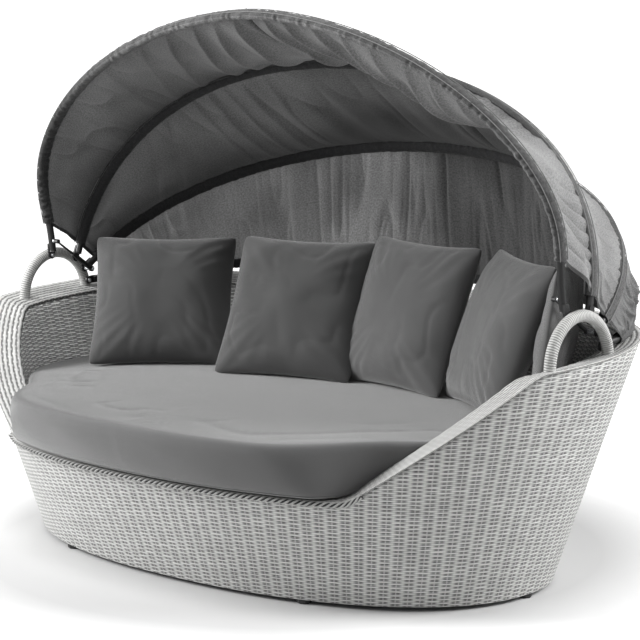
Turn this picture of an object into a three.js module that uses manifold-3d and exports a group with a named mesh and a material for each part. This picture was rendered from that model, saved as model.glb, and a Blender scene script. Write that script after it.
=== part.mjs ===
// Outdoor daybed with a folding canopy: a woven oval tub on a tube frame, a seat
// mattress, scatter pillows, two wound handles and four canopy bows that fold back
// on pivots along the handles. Millimetres, +X to the sitter's left, +Y to the
// back, +Z up. The origin is on the floor, under the middle of the whole daybed.
import * as THREE from 'three';
import { mergeVertices } from 'three/addons/utils/BufferGeometryUtils.js';
import Module from 'manifold-3d';

const wasm = await Module();
wasm.setup();

// Tub: outside oval at the floor, its outward lean and the heights of its rim
const tubLength = 1550;
const tubDepth = 882;
const leanLengthShare = 0.329;
const leanDepthShare = 0.345;
const ovalPowerShare = 2.2;
const frontRimHeight = 278;
const armCornerHeight = 588;
const backRimHeight = 620;
const riseStartDegrees = 40;
const riseEndDegrees = 77;
const backLevelDegrees = 118;
const riseSoftShare = 0.06;

// Woven skins: one strand layer over the frame, and the ledge that joins the walls
const wallThickness = 84;
const weaveThickness = 6;
const ledgeDrop = 22;
const rimRoll = 3;
const weaveFloorGap = 11;
const innerWeaveDepth = 12;
const braidRadius = 7;
const braidReachDegrees = 44;
const braidGap = 1;

// Clearances
const seatingGap = 0.3;
const railGap = 1.5;
const softGap = 3;

// Frame tubes, deck and glides
const frameTubeRadius = 12.5;
const uprightRadius = 10;
const stubRadius = 8;
const stubDrop = 26;
const uprightDegrees = [20, 55, 91.5, 150];
const deckThickness = 8;
const deckRingInset = 102;
const rimRingInset = 42;
const railWidth = 40;
const railHeight = 20;
const railSpacing = 430;
const glideHeight = 10;
const glideRadius = 18;
const glideChamfer = 3;
const glideDegrees = [30, 92, 152];

// Handles: an arch of wound tube on each ledge
const handleInset = 58;
const handleSetback = 19;
const handleHalfSpan = 113.5;
const handleRise = 115;
const handleRadius = 14.5;
const handleRoot = 23;

// Canopy bows, front to back: pivot angle on the handle arch, plane angle from the
// back horizon, height from the pivot line as a share of the tub's depth, squareness
// of the curve, how far the legs bulge as a share of the half span, and how far up the
// leg the cloth starts as a share of the height
const bowRadius = 9.5;
const bowSideGap = 0.8;
const bowTubeStart = 14;
const bowLegRise = 50;
const foldingBows = [
  {
    pivotDegrees: 104,
    planeDegrees: 99.1,
    heightShare: 0.7881,
    powerShare: 1.725,
    bulgeShare: 0.1345,
    clothShare: 0.1437,
  },
  {
    pivotDegrees: 57,
    planeDegrees: 74.4,
    heightShare: 0.6678,
    powerShare: 2.188,
    bulgeShare: 0,
    clothShare: 0.1052,
  },
  {
    pivotDegrees: 34,
    planeDegrees: 36.7,
    heightShare: 0.6876,
    powerShare: 1.98,
    bulgeShare: 0.016,
    clothShare: 0.0725,
  },
];
const bulgeStartPower = 30;
// The fixed bow at the back lies over the middle of the ledge, this far above the rim
const rearBow = { pivotDegrees: 14, powerShare: 2.3, bulgeShare: 0, clothShare: 0.1732 };
const rearBowClearance = 37;
const tabRadius = 11;
const tabThickness = 5;
const tabLength = 26;
const boltShankRadius = 4;
const boltHeadRadius = 6.5;
const boltHeadHeight = 5;

// Struts: a tube that turns on the third pivot bolt and a rod that slides in it, up
// to a ball stud on the first bow
const strutSideGap = 7;
const strutTubeRadius = 7;
const strutRodRadius = 3;
const strutTubeStart = 7.2;
const strutTubeEnd = 86;
const strutBoreStart = 11;
const strutRodReach = 68;
const strutTopRise = 42;
const strutEyeRadius = 8;
const strutEyeThickness = 8;
const strutPinRadius = 3;
const strutHeadRadius = 5.5;
const strutHeadHeight = 3;
const spacerRadius = 6;
const socketRadius = 6.5;
const studRadius = 4.5;
const studFlangeRadius = 6;
const studFlangeHeight = 2;

// Canopy cloth
const clothThickness = 2;
const sleeveGap = 0.5;
const sleeveThickness = 2;
const panelEdgeGap = 2;
const panelTuck = 0.4;
const frontSag = 6;
const middleSag = 3;
const rearSag = 6;
const rearFoldDepth = 7;
const rearFolds = 10;

// Seat mattress and pillows
const mattressThickness = 134;
const mattressOverhang = 26;
const mattressEdge = 16;
const mattressCrown = 12;
const mattressTurnInDegrees = { low: 10, high: 30 };
const mattressArmClearDegrees = 3;
// Side rows, bottom to top: share of the thickness and inset as a share of the edge
const mattressRowShares = [
  [0, 1],
  [0.1, 0.3],
  [0.3, -0.25],
  [0.55, -0.45],
  [0.8, -0.15],
  [0.94, 0.4],
  [1, 1.2],
];
const mattressTopShares = [0.15, 0.4, 0.7];
const pillowSize = 392;
const pillowThickness = 132;
const pillowSeam = 5;
const pillowDrawIn = 20;
const pillowEdgePowerShare = 4;
const pillowSwellShare = 0.6;
// Left to right: the lower edge's place as shares of the tub's half length and half
// depth, its turn and its lean, and how far its neighbour presses it flat
const pillowPlaces = [
  { shares: [-0.66, 0.06], turnDegrees: 40, leanDegrees: 34 },
  { shares: [-0.17, 0.185], turnDegrees: 17, leanDegrees: 29 },
  { shares: [0.25, 0.375], turnDegrees: -8, leanDegrees: 22 },
  { shares: [0.677, 0.207], turnDegrees: -34.5, leanDegrees: 21 },
  { shares: [0.926, 0.33], turnDegrees: -61.5, leanDegrees: 8.3, pressShare: 0.55 },
];

// Facet counts
const ovalStations = 64;
const tubeSides = 8;
const hiddenSides = 6;
const smallSides = 8;
const handleSteps = 22;
const turnStep = 0.002;
const braidSteps = 36;
const clothSteps = 20;
const rearColumns = 60;
const mattressStations = 72;
const pillowCells = 8;
const panelRows = 4;
const rearRows = 3;

const up = new THREE.Vector3(0, 0, 1);
const across = new THREE.Vector3(1, 0, 0);

// Plain tools: closed bodies from grids and rings, and joins and cuts

function radians(degrees) {
  return THREE.MathUtils.degToRad(degrees);
}

// A closed body from points and faces, turned so that its faces point out
function closedBody(points, faces) {
  let volume = 0;
  for (const [a, b, c] of faces) {
    volume += points[a].dot(new THREE.Vector3().crossVectors(points[b], points[c]));
  }
  const outward = volume < 0 ? faces.map(([a, b, c]) => [a, c, b]) : faces;
  const geometry = new THREE.BufferGeometry();
  geometry.setFromPoints(points);
  geometry.setIndex(outward.flat());
  return geometry;
}

// Any closed three.js shape as shared corners with no empty faces
function tidied(shape) {
  const bare = new THREE.BufferGeometry();
  bare.setAttribute('position', shape.getAttribute('position'));
  bare.setIndex(shape.getIndex());
  const merged = mergeVertices(bare);
  const place = merged.getAttribute('position');
  const points = [];
  for (let i = 0; i < place.count; i += 1) {
    points.push(new THREE.Vector3().fromBufferAttribute(place, i));
  }
  const corners = merged.getIndex().array;
  const faces = [];
  for (let i = 0; i < corners.length; i += 3) {
    const [a, b, c] = corners.slice(i, i + 3);
    if (a !== b && b !== c && c !== a) {
      faces.push([a, b, c]);
    }
  }
  return closedBody(points, faces);
}

function asSolid(shape) {
  const clean = tidied(shape);
  const mesh = new wasm.Mesh({
    numProp: 3,
    vertProperties: new Float32Array(clean.getAttribute('position').array),
    triVerts: new Uint32Array(clean.getIndex().array),
  });
  return new wasm.Manifold(mesh);
}

function asShape(solid) {
  const mesh = solid.getMesh();
  const shape = new THREE.BufferGeometry();
  shape.setAttribute('position', new THREE.BufferAttribute(new Float32Array(mesh.vertProperties), 3));
  shape.setIndex(new THREE.BufferAttribute(new Uint32Array(mesh.triVerts), 1));
  return shape;
}

// A ring of sections joined end to end, such as a wall that runs round the tub
function ringBody(sections) {
  const count = sections[0].length;
  const faces = [];
  sections.forEach((section, i) => {
    const here = i * count;
    const next = ((i + 1) % sections.length) * count;
    section.forEach((point, j) => {
      const k = (j + 1) % count;
      faces.push([here + j, next + j, next + k]);
      faces.push([here + j, next + k, here + k]);
    });
  });
  return closedBody(sections.flat(), faces);
}

// Rings stacked between a first and a last single point
function stackedBody(first, rings, last) {
  const count = rings[0].length;
  const points = [first, ...rings.flat(), last];
  const end = points.length - 1;
  const faces = [];
  for (let j = 0; j < count; j += 1) {
    const k = (j + 1) % count;
    faces.push([0, 1 + k, 1 + j]);
    faces.push([end, end - count + j, end - count + k]);
    for (let i = 0; i + 1 < rings.length; i += 1) {
      const here = 1 + i * count;
      const next = here + count;
      faces.push([here + j, here + k, next + k]);
      faces.push([here + j, next + k, next + j]);
    }
  }
  return closedBody(points, faces);
}

// Two grids of points, back to back, closed round their edges
function sheetBody(front, back) {
  const columns = front.length;
  const rows = front[0].length;
  const far = columns * rows;
  const at = (i, j) => i * rows + j;
  const faces = [];
  const quad = (a, b, c, d) => faces.push([a, b, c], [a, c, d]);
  for (let i = 0; i + 1 < columns; i += 1) {
    for (let j = 0; j + 1 < rows; j += 1) {
      quad(at(i, j), at(i + 1, j), at(i + 1, j + 1), at(i, j + 1));
      quad(far + at(i, j), far + at(i, j + 1), far + at(i + 1, j + 1), far + at(i + 1, j));
    }
  }
  const edge = (a, b) => quad(a, far + a, far + b, b);
  for (let i = 0; i + 1 < columns; i += 1) {
    edge(at(i, 0), at(i + 1, 0));
    edge(at(i + 1, rows - 1), at(i, rows - 1));
  }
  for (let j = 0; j + 1 < rows; j += 1) {
    edge(at(columns - 1, j), at(columns - 1, j + 1));
    edge(at(0, j + 1), at(0, j));
  }
  return closedBody([...front.flat(), ...back.flat()], faces);
}

// A round section as a polygon, for tubes along a path
function roundSection(radius, sides) {
  const points = [];
  for (let i = 0; i < sides; i += 1) {
    const turn = (i / sides) * 2 * Math.PI;
    points.push(new THREE.Vector2(radius * Math.cos(turn), radius * Math.sin(turn)));
  }
  return points;
}

function tubeAlong(path, radius, sides, steps) {
  const shape = new THREE.Shape(roundSection(radius, sides));
  return new THREE.ExtrudeGeometry(shape, { steps, extrudePath: path, bevelEnabled: false });
}

// The radius of a hole with flats that leaves the seating gap round a round pin
function holeFor(radius) {
  return (radius + seatingGap) / Math.cos(Math.PI / smallSides);
}

// A round bar between two points
function barBetween(start, end, radius, sides) {
  const along = new THREE.Vector3().subVectors(end, start);
  const bar = new THREE.CylinderGeometry(radius, radius, along.length(), sides);
  const turn = new THREE.Quaternion().setFromUnitVectors(new THREE.Vector3(0, 1, 0), along.normalize());
  bar.applyQuaternion(turn);
  const middle = new THREE.Vector3().addVectors(start, end).multiplyScalar(0.5);
  return bar.translate(middle.x, middle.y, middle.z);
}

// A turned piece whose axis runs along +X from the profile's start
function turnedAlongX(profile, sides) {
  const points = profile.map(([radius, along]) => new THREE.Vector2(radius, along));
  const piece = tidied(new THREE.LatheGeometry(points, sides));
  return piece.rotateZ(-Math.PI / 2);
}

// Tub surface: places on the leaning oval wall, measured in from its outside

function degreesFromFront(turn) {
  const folded = THREE.MathUtils.euclideanModulo(THREE.MathUtils.radToDeg(turn) + 90, 360);
  return Math.min(folded, 360 - folded);
}

// A straight climb from 0 to 1 with softened ends
function softRamp(share) {
  const soft = riseSoftShare;
  if (share <= -soft) {
    return 0;
  }
  if (share < soft) {
    return (share + soft) ** 2 / (4 * soft);
  }
  if (share <= 1 - soft) {
    return share;
  }
  return share < 1 + soft ? 1 - (1 + soft - share) ** 2 / (4 * soft) : 1;
}

function armRise(turn) {
  return softRamp((degreesFromFront(turn) - riseStartDegrees) / (riseEndDegrees - riseStartDegrees));
}

function rimHeight(turn) {
  const rear = softRamp((degreesFromFront(turn) - riseEndDegrees) / (backLevelDegrees - riseEndDegrees));
  const arm = frontRimHeight + (armCornerHeight - frontRimHeight) * armRise(turn);
  return arm + (backRimHeight - armCornerHeight) * rear;
}

function ledgeTop(turn, inset) {
  return rimHeight(turn) - ledgeDrop * armRise(turn) * (inset / wallThickness);
}

function ledgeUnderside(turn, inset) {
  return ledgeTop(turn, inset) - weaveThickness;
}

const mattressBottom = frontRimHeight + seatingGap;
const mattressReaches = mattressRowShares.map(([share, insetShare]) => {
  const lean = leanDepthShare * (mattressBottom + share * mattressThickness);
  return tubDepth / 2 + lean + mattressOverhang - insetShare * mattressEdge;
});
const frontReach = Math.max(...mattressReaches);
const rimReach = tubDepth / 2 + leanDepthShare * (backRimHeight - weaveThickness / 2) + rimRoll;
const sleeveRadius = bowRadius + sleeveGap + sleeveThickness;
const clothOffset = sleeveRadius + seatingGap + clothThickness / 2;
const lastBow = foldingBows[foldingBows.length - 1];
const lastPivot = handleSetback + handleHalfSpan * Math.cos(radians(lastBow.pivotDegrees));
const lastReach = lastBow.heightShare * tubDepth * Math.cos(radians(lastBow.planeDegrees));
const bowReach = lastPivot + lastReach + clothOffset + clothThickness / 2;
const backReach = Math.max(rimReach, bowReach);
const tubCentre = (frontReach - backReach) / 2;

function halfLengthAt(height, inset) {
  return tubLength / 2 + leanLengthShare * height - inset;
}

function halfDepthAt(height, inset) {
  return tubDepth / 2 + leanDepthShare * height - inset;
}

function ovalPoint(turn, height, inset) {
  const power = 2 / ovalPowerShare;
  const cos = Math.cos(turn);
  const sin = Math.sin(turn);
  const x = halfLengthAt(height, inset) * Math.sign(cos) * Math.abs(cos) ** power;
  const y = halfDepthAt(height, inset) * Math.sign(sin) * Math.abs(sin) ** power;
  return new THREE.Vector3(x, tubCentre + y, height);
}

function ovalDepthAt(x, height, inset) {
  const share = Math.abs(x) / halfLengthAt(height, inset);
  return halfDepthAt(height, inset) * (1 - share ** ovalPowerShare) ** (1 / ovalPowerShare);
}

function stationTurns(count) {
  return Array.from({ length: count }, (_, i) => (i / count) * 2 * Math.PI - Math.PI / 2);
}

// Woven skins

function outerWeave() {
  const sections = stationTurns(ovalStations).map((turn) => {
    const top = (inset) => ledgeUnderside(turn, inset) - seatingGap;
    return [
      ovalPoint(turn, weaveFloorGap, 0),
      ovalPoint(turn, top(0), 0),
      ovalPoint(turn, top(weaveThickness), weaveThickness),
      ovalPoint(turn, weaveFloorGap, weaveThickness),
    ];
  });
  return ringBody(sections);
}

function innerWeave() {
  const outside = wallThickness - weaveThickness;
  const bottom = frontRimHeight - innerWeaveDepth;
  const sections = stationTurns(ovalStations).map((turn) => {
    const top = (inset) => ledgeUnderside(turn, inset) - seatingGap;
    return [
      ovalPoint(turn, bottom, outside),
      ovalPoint(turn, top(outside), outside),
      ovalPoint(turn, top(wallThickness), wallThickness),
      ovalPoint(turn, bottom, wallThickness),
    ];
  });
  return ringBody(sections);
}

function rimWeave() {
  const sections = stationTurns(ovalStations).map((turn) => [
    ovalPoint(turn, ledgeUnderside(turn, 0), 0),
    ovalPoint(turn, ledgeTop(turn, 0) - weaveThickness / 2, -rimRoll),
    ovalPoint(turn, ledgeTop(turn, 0), 0),
    ovalPoint(turn, ledgeTop(turn, wallThickness), wallThickness),
    ovalPoint(turn, ledgeUnderside(turn, wallThickness), wallThickness),
  ]);
  let rim = asSolid(ringBody(sections));
  for (const side of [-1, 1]) {
    rim = rim.subtract(asSolid(handleTube(side, holeFor(handleRadius))));
  }
  return asShape(rim);
}

function frontBraid() {
  const reach = radians(braidReachDegrees);
  const inset = -rimRoll - braidGap - braidRadius;
  const points = [];
  for (let i = 0; i <= braidSteps; i += 1) {
    const turn = -Math.PI / 2 - reach + (2 * reach * i) / braidSteps;
    points.push(ovalPoint(turn, rimHeight(turn) - braidRadius, inset));
  }
  return tubeAlong(new THREE.CatmullRomCurve3(points), braidRadius, hiddenSides, braidSteps);
}

// Frame: tubes round the floor, the deck and the rim, joined by uprights

const frameInset = weaveThickness + seatingGap + frameTubeRadius;
const frameTubeFlat = frameTubeRadius * Math.cos(Math.PI / hiddenSides);
const baseRingHeight = glideHeight + seatingGap + frameTubeFlat;
const deckUnderside = frontRimHeight - deckThickness - seatingGap;
const deckRingHeight = deckUnderside - frameTubeFlat;

function ringOfTube(radius, stations, centre) {
  const sections = stationTurns(stations).map((turn) => {
    const { height, inset } = centre(turn);
    return roundSection(radius, hiddenSides).map((p) => ovalPoint(turn, height + p.y, inset + p.x));
  });
  return ringBody(sections);
}

function baseRing(extra = 0) {
  const centre = () => ({ height: baseRingHeight, inset: frameInset });
  return ringOfTube(frameTubeRadius + extra, ovalStations, centre);
}

function deckRing(extra = 0) {
  const centre = () => ({ height: deckRingHeight, inset: deckRingInset });
  return ringOfTube(frameTubeRadius + extra, ovalStations, centre);
}

function rimRingHeight(turn) {
  const inner = rimRingInset + frameTubeRadius;
  return ledgeUnderside(turn, inner) - 2 * seatingGap - frameTubeFlat;
}

function rimRing(extra = 0) {
  const centre = (turn) => ({ height: rimRingHeight(turn), inset: rimRingInset });
  return ringOfTube(frameTubeRadius + extra, ovalStations, centre);
}

// An upright follows the wall's lean, with a short arm that carries the deck ring.
// It is welded to the top of the floor ring and the underside of the rim ring.
function upright(turn) {
  const foot = ovalPoint(turn, baseRingHeight + frameTubeRadius / 2, frameInset);
  const head = ovalPoint(turn, rimRingHeight(turn) - frameTubeRadius / 2, rimRingInset);
  const armHeight = frontRimHeight - stubDrop;
  const armStart = ovalPoint(turn, armHeight, frameInset);
  const armEnd = ovalPoint(turn, deckRingHeight, deckRingInset);
  return asShape(
    asSolid(barBetween(foot, head, uprightRadius, smallSides))
      .add(asSolid(barBetween(armStart, armEnd, stubRadius, smallSides)))
      .subtract(asSolid(baseRing(seatingGap)))
      .subtract(asSolid(rimRing(seatingGap)))
      .subtract(asSolid(deckRing(seatingGap))),
  );
}

function deckRail(x) {
  const reach = Math.abs(x) + railWidth / 2;
  const inner = deckRingInset + frameTubeRadius;
  const half = ovalDepthAt(reach, deckRingHeight, inner) - railGap;
  const rail = new THREE.BoxGeometry(railWidth, 2 * half, railHeight);
  return rail.translate(x, tubCentre, deckUnderside - railHeight / 2);
}

function seatDeck() {
  const inset = wallThickness + seatingGap;
  const bottom = frontRimHeight - deckThickness;
  const ring = (height) => stationTurns(ovalStations).map((turn) => {
    const place = ovalPoint(turn, bottom, inset);
    return place.setZ(height);
  });
  const middle = (height) => new THREE.Vector3(0, tubCentre, height);
  return stackedBody(middle(bottom), [ring(bottom), ring(frontRimHeight)], middle(frontRimHeight));
}

function glide() {
  const profile = [
    [0, 0],
    [glideRadius - glideChamfer, 0],
    [glideRadius, glideChamfer],
    [glideRadius, glideHeight],
    [0, glideHeight],
  ];
  return tidied(new THREE.LatheGeometry(profile.map(([r, h]) => new THREE.Vector2(r, h)), smallSides)).rotateX(Math.PI / 2);
}

// Handles

const handleTurn = 0;
const handleCentreY = tubCentre + handleSetback;
const handleX = halfLengthAt(rimHeight(handleTurn), handleInset);
const handleBase = ledgeTop(handleTurn, handleInset);

function archPoint(degrees) {
  const turn = radians(degrees);
  const y = handleCentreY + handleHalfSpan * Math.cos(turn);
  const z = handleBase + handleRise * Math.sin(turn);
  return new THREE.Vector3(0, y, z);
}

function handleTube(side, radius) {
  const points = [archPoint(180).setZ(handleBase - handleRoot)];
  for (let degrees = 180; degrees >= 0; degrees -= 15) {
    points.push(archPoint(degrees));
  }
  points.push(archPoint(0).setZ(handleBase - handleRoot));
  points.forEach((point) => point.setX(side * handleX));
  return tubeAlong(new THREE.CatmullRomCurve3(points), radius, smallSides, handleSteps);
}

function handle(side) {
  let arch = asSolid(handleTube(side, handleRadius)).subtract(asSolid(rimRing(seatingGap)));
  for (const bow of bows) {
    const pivot = archPoint(bow.pivotDegrees);
    const inside = pivot.clone().setX(side * (handleX - 2 * handleRadius));
    const deep = pivot.clone().setX(side * (handleX + boltShankRadius + seatingGap));
    arch = arch.subtract(asSolid(barBetween(inside, deep, holeFor(boltShankRadius), smallSides)));
  }
  return asShape(arch);
}

// Canopy bows, each drawn upright over its pivot line and then turned to its plane

const ledgeMiddle = tubCentre + halfDepthAt(backRimHeight, wallThickness / 2);
const rearRun = ledgeMiddle - archPoint(rearBow.pivotDegrees).y;
const rearRise = backRimHeight + rearBowClearance - archPoint(rearBow.pivotDegrees).z;
const bows = [
  ...foldingBows.map((bow) => ({ ...bow, height: bow.heightShare * tubDepth })),
  {
    ...rearBow,
    height: Math.hypot(rearRun, rearRise),
    planeDegrees: THREE.MathUtils.radToDeg(Math.atan2(rearRise, rearRun)),
  },
];
const bowHalfSpan = handleX - handleRadius - bowSideGap - bowRadius;
const tabInside = bowHalfSpan + bowRadius - tabThickness;

// A place on the bow's centre line, at a turn from one pivot to the other
function bowPlace(bow, turn) {
  const power = 2 / bow.powerShare;
  const cos = Math.cos(turn);
  const bulge = bow.bulgeShare * Math.sin(2 * turn) * (1 - Math.abs(cos) ** bulgeStartPower);
  const x = bowHalfSpan * (Math.sign(cos) * Math.abs(cos) ** power + bulge);
  return new THREE.Vector3(x, 0, bow.height * Math.sin(turn) ** power);
}

// Square to the bow, in its own plane
function bowOutward(bow, turn) {
  const along = bowPlace(bow, turn + turnStep).sub(bowPlace(bow, turn - turnStep));
  return new THREE.Vector3(along.z, 0, -along.x).normalize();
}

function turnAtRise(bow, rise) {
  return Math.asin((rise / bow.height) ** (bow.powerShare / 2));
}

function clothTurns(bow, steps) {
  const start = turnAtRise(bow, bow.clothShare * bow.height);
  return Array.from({ length: steps + 1 }, (_, i) => start + (Math.PI - 2 * start) * (i / steps));
}

function bowSections(bow, turns, radius) {
  const sideways = new THREE.Vector3(0, 1, 0);
  return turns.map((turn) => {
    const place = bowPlace(bow, turn);
    const outward = bowOutward(bow, turn);
    return roundSection(radius, tubeSides).map((p) => place.clone()
      .addScaledVector(outward, p.x)
      .addScaledVector(sideways, p.y));
  });
}

function bowTab(side) {
  const outline = new THREE.Shape();
  outline.moveTo(tabRadius, tabLength);
  outline.lineTo(-tabRadius, tabLength);
  outline.lineTo(-tabRadius, 0);
  outline.absarc(0, 0, tabRadius, Math.PI, 2 * Math.PI, false);
  const tab = new THREE.ExtrudeGeometry(outline, { depth: tabThickness, bevelEnabled: false, curveSegments: 8 });
  const axes = new THREE.Matrix4().makeBasis(new THREE.Vector3(0, 1, 0), up, across);
  tab.applyMatrix4(axes);
  return tab.translate(side > 0 ? tabInside : -tabInside - tabThickness, 0, 0);
}

function bowTube(bow) {
  const first = turnAtRise(bow, bowTubeStart);
  const leg = turnAtRise(bow, Math.min(bowLegRise, (bowTubeStart + bow.clothShare * bow.height) / 2));
  const turns = [first, leg, ...clothTurns(bow, clothSteps), Math.PI - leg, Math.PI - first];
  const sections = bowSections(bow, turns, bowRadius);
  const ends = [bowPlace(bow, first), bowPlace(bow, Math.PI - first)];
  let tube = asSolid(stackedBody(ends[0], sections, ends[1]));
  for (const side of [-1, 1]) {
    const low = new THREE.Vector3(side * (tabInside - tabThickness), 0, 0);
    const high = new THREE.Vector3(side * (tabInside + 2 * tabThickness), 0, 0);
    tube = tube.add(asSolid(bowTab(side)));
    tube = tube.subtract(asSolid(barBetween(low, high, holeFor(boltShankRadius), smallSides)));
  }
  return asShape(tube);
}

// A cloth sleeve sewn round a bow
function sleeve(bow) {
  const inner = bowRadius + sleeveGap;
  const turns = clothTurns(bow, clothSteps);
  const outside = bowSections(bow, turns, sleeveRadius);
  const inside = bowSections(bow, turns, inner).reverse();
  const strips = roundSection(inner, tubeSides).map((_, side) => [
    ...outside.map((section) => section[side]),
    ...inside.map((section) => section[side]),
  ]);
  return ringBody(strips);
}

function pivotBolt() {
  const shankEnd = handleX - tabInside + seatingGap;
  const profile = [
    [0, -boltHeadHeight],
    [boltHeadRadius / 2, -boltHeadHeight],
    [boltHeadRadius, -boltHeadHeight / 2],
    [boltHeadRadius, 0],
    [boltShankRadius, 0],
    [boltShankRadius, shankEnd],
    [0, shankEnd],
  ];
  return turnedAlongX(profile, smallSides);
}

// Struts

const strutX = bowHalfSpan - bowRadius - strutSideGap - strutTubeRadius;
const strutFoot = archPoint(bows[2].pivotDegrees);
const strutTop = archPoint(bows[0].pivotDegrees).add(new THREE.Vector3(
  0,
  strutTopRise * Math.cos(radians(bows[0].planeDegrees)),
  strutTopRise * Math.sin(radians(bows[0].planeDegrees)),
));
const strutReach = strutFoot.distanceTo(strutTop);
const strutTilt = Math.atan2(strutTop.z - strutFoot.z, strutTop.y - strutFoot.y);

// Drawn along +Y from its foot, then turned up to the line between its two ends
function strutTube() {
  const start = new THREE.Vector3(0, strutTubeStart, 0);
  const end = new THREE.Vector3(0, strutTubeEnd, 0);
  const bore = new THREE.Vector3(0, strutBoreStart, 0);
  const beyond = new THREE.Vector3(0, strutTubeEnd + strutTubeRadius, 0);
  const half = new THREE.Vector3(strutEyeThickness / 2, 0, 0);
  const through = new THREE.Vector3(strutEyeThickness, 0, 0);
  return asShape(
    asSolid(barBetween(start, end, strutTubeRadius, smallSides))
      .add(asSolid(barBetween(half.clone().negate(), half, strutEyeRadius, 2 * smallSides)))
      .subtract(asSolid(barBetween(bore, beyond, holeFor(strutRodRadius), smallSides)))
      .subtract(asSolid(barBetween(through.clone().negate(), through, holeFor(strutPinRadius), smallSides))),
  );
}

function strutRod() {
  const tip = new THREE.Vector3(0, strutRodReach, 0);
  const top = new THREE.Vector3(0, strutReach, 0);
  const half = new THREE.Vector3(socketRadius, 0, 0);
  const inner = top.clone().sub(half);
  const outer = top.clone().add(half);
  return asShape(
    asSolid(barBetween(tip, top, strutRodRadius, smallSides))
      .add(asSolid(barBetween(inner, outer, socketRadius, smallSides))),
  );
}

// The third pivot bolt is long: it also carries the strut's eye, with a spacer
function longPivotBolt() {
  const origin = strutX - tabInside + seatingGap;
  const head = origin - strutEyeThickness / 2 - seatingGap;
  const spacer = origin + strutEyeThickness / 2 + seatingGap;
  const shankEnd = handleX - tabInside + seatingGap;
  const profile = [
    [0, head - strutHeadHeight],
    [strutHeadRadius, head - strutHeadHeight],
    [strutHeadRadius, head],
    [strutPinRadius, head],
    [strutPinRadius, spacer],
    [spacerRadius, spacer],
    [spacerRadius, 0],
    [boltShankRadius, 0],
    [boltShankRadius, shankEnd],
    [0, shankEnd],
  ];
  return turnedAlongX(profile, smallSides);
}

function ballStud() {
  const start = socketRadius + seatingGap;
  const legFace = bowPlace(bows[0], turnAtRise(bows[0], bowLegRise)).x - bowRadius;
  const end = legFace - strutX - seatingGap;
  const profile = [
    [0, start],
    [studRadius, start],
    [studRadius, end - studFlangeHeight],
    [studFlangeRadius, end - studFlangeHeight],
    [studFlangeRadius, end],
    [0, end],
  ];
  return turnedAlongX(profile, smallSides);
}

// Canopy cloth between two bows: it lies over their sleeves and swells between them

function bowLine(bow, columns) {
  const pivot = archPoint(bow.pivotDegrees);
  const lift = new THREE.Matrix4().makeRotationX(radians(bow.planeDegrees - 90));
  return clothTurns(bow, columns).map((turn) => bowPlace(bow, turn).applyMatrix4(lift).add(pivot));
}

function clothPanel(front, rear, { columns, rows, sag, tuck = 0, folds = 0, foldDepth = 0 }) {
  const frontLine = bowLine(front, columns);
  const rearLine = bowLine(rear, columns);
  const outside = [];
  const inside = [];
  for (let i = 0; i <= columns; i += 1) {
    const before = Math.max(i - 1, 0);
    const after = Math.min(i + 1, columns);
    const rearward = rearLine[i].clone().sub(frontLine[i]);
    const [frontOut, rearOut] = [frontLine, rearLine].map((line) => {
      const along = line[after].clone().sub(line[before]);
      return rearward.clone().cross(along).normalize();
    });
    const edge = panelEdgeGap / rearward.length();
    const wave = foldDepth * Math.cos((i / columns) * folds * 2 * Math.PI);
    const columnAt = (offset) => Array.from({ length: rows + 1 }, (_, j) => {
      const share = edge + (1 - 2 * edge) * (j / rows);
      const slack = 4 * share * (1 - share);
      const lift = clothOffset - tuck + offset + (sag + wave) * slack;
      const outward = frontOut.clone().lerp(rearOut, share).normalize();
      return frontLine[i].clone().addScaledVector(rearward, share).addScaledVector(outward, lift);
    });
    outside.push(columnAt(clothThickness / 2));
    inside.push(columnAt(-clothThickness / 2));
  }
  return sheetBody(outside, inside);
}

// Seat mattress: fills the tub inside the arms and lies over the front rim

function mattress() {
  const inner = wallThickness + softGap - Math.min(...mattressRowShares.map(([, share]) => share)) * mattressEdge;
  // It turns in from over the rim to inside the arm just before the arm reaches its height
  const wallInset = (turn, height) => {
    const rise = (height - frontRimHeight) / (armCornerHeight - frontRimHeight);
    const armDegrees = THREE.MathUtils.lerp(riseStartDegrees, riseEndDegrees, rise);
    const up = (height - mattressBottom) / mattressThickness;
    const corner = THREE.MathUtils.lerp(mattressTurnInDegrees.low, mattressTurnInDegrees.high, up);
    const turnIn = 1 + (degreesFromFront(turn) + mattressArmClearDegrees - armDegrees) / corner;
    return THREE.MathUtils.lerp(-mattressOverhang, inner, THREE.MathUtils.smoothstep(turnIn, 0, 1));
  };
  const turns = stationTurns(mattressStations);
  const rings = mattressRowShares.map(([share, insetShare]) => turns.map((turn) => {
    const height = mattressBottom + share * mattressThickness;
    return ovalPoint(turn, height, wallInset(turn, height) + insetShare * mattressEdge);
  }));
  const rim = rings[rings.length - 1];
  const centre = new THREE.Vector3(0, tubCentre, mattressBottom + mattressThickness);
  for (const share of mattressTopShares) {
    const lift = mattressCrown * (1 - (1 - share) ** 2);
    rings.push(rim.map((point) => point.clone().lerp(centre, share).setZ(centre.z + lift)));
  }
  const top = centre.clone().setZ(centre.z + mattressCrown);
  return stackedBody(centre.clone().setZ(mattressBottom), rings, top);
}

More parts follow.
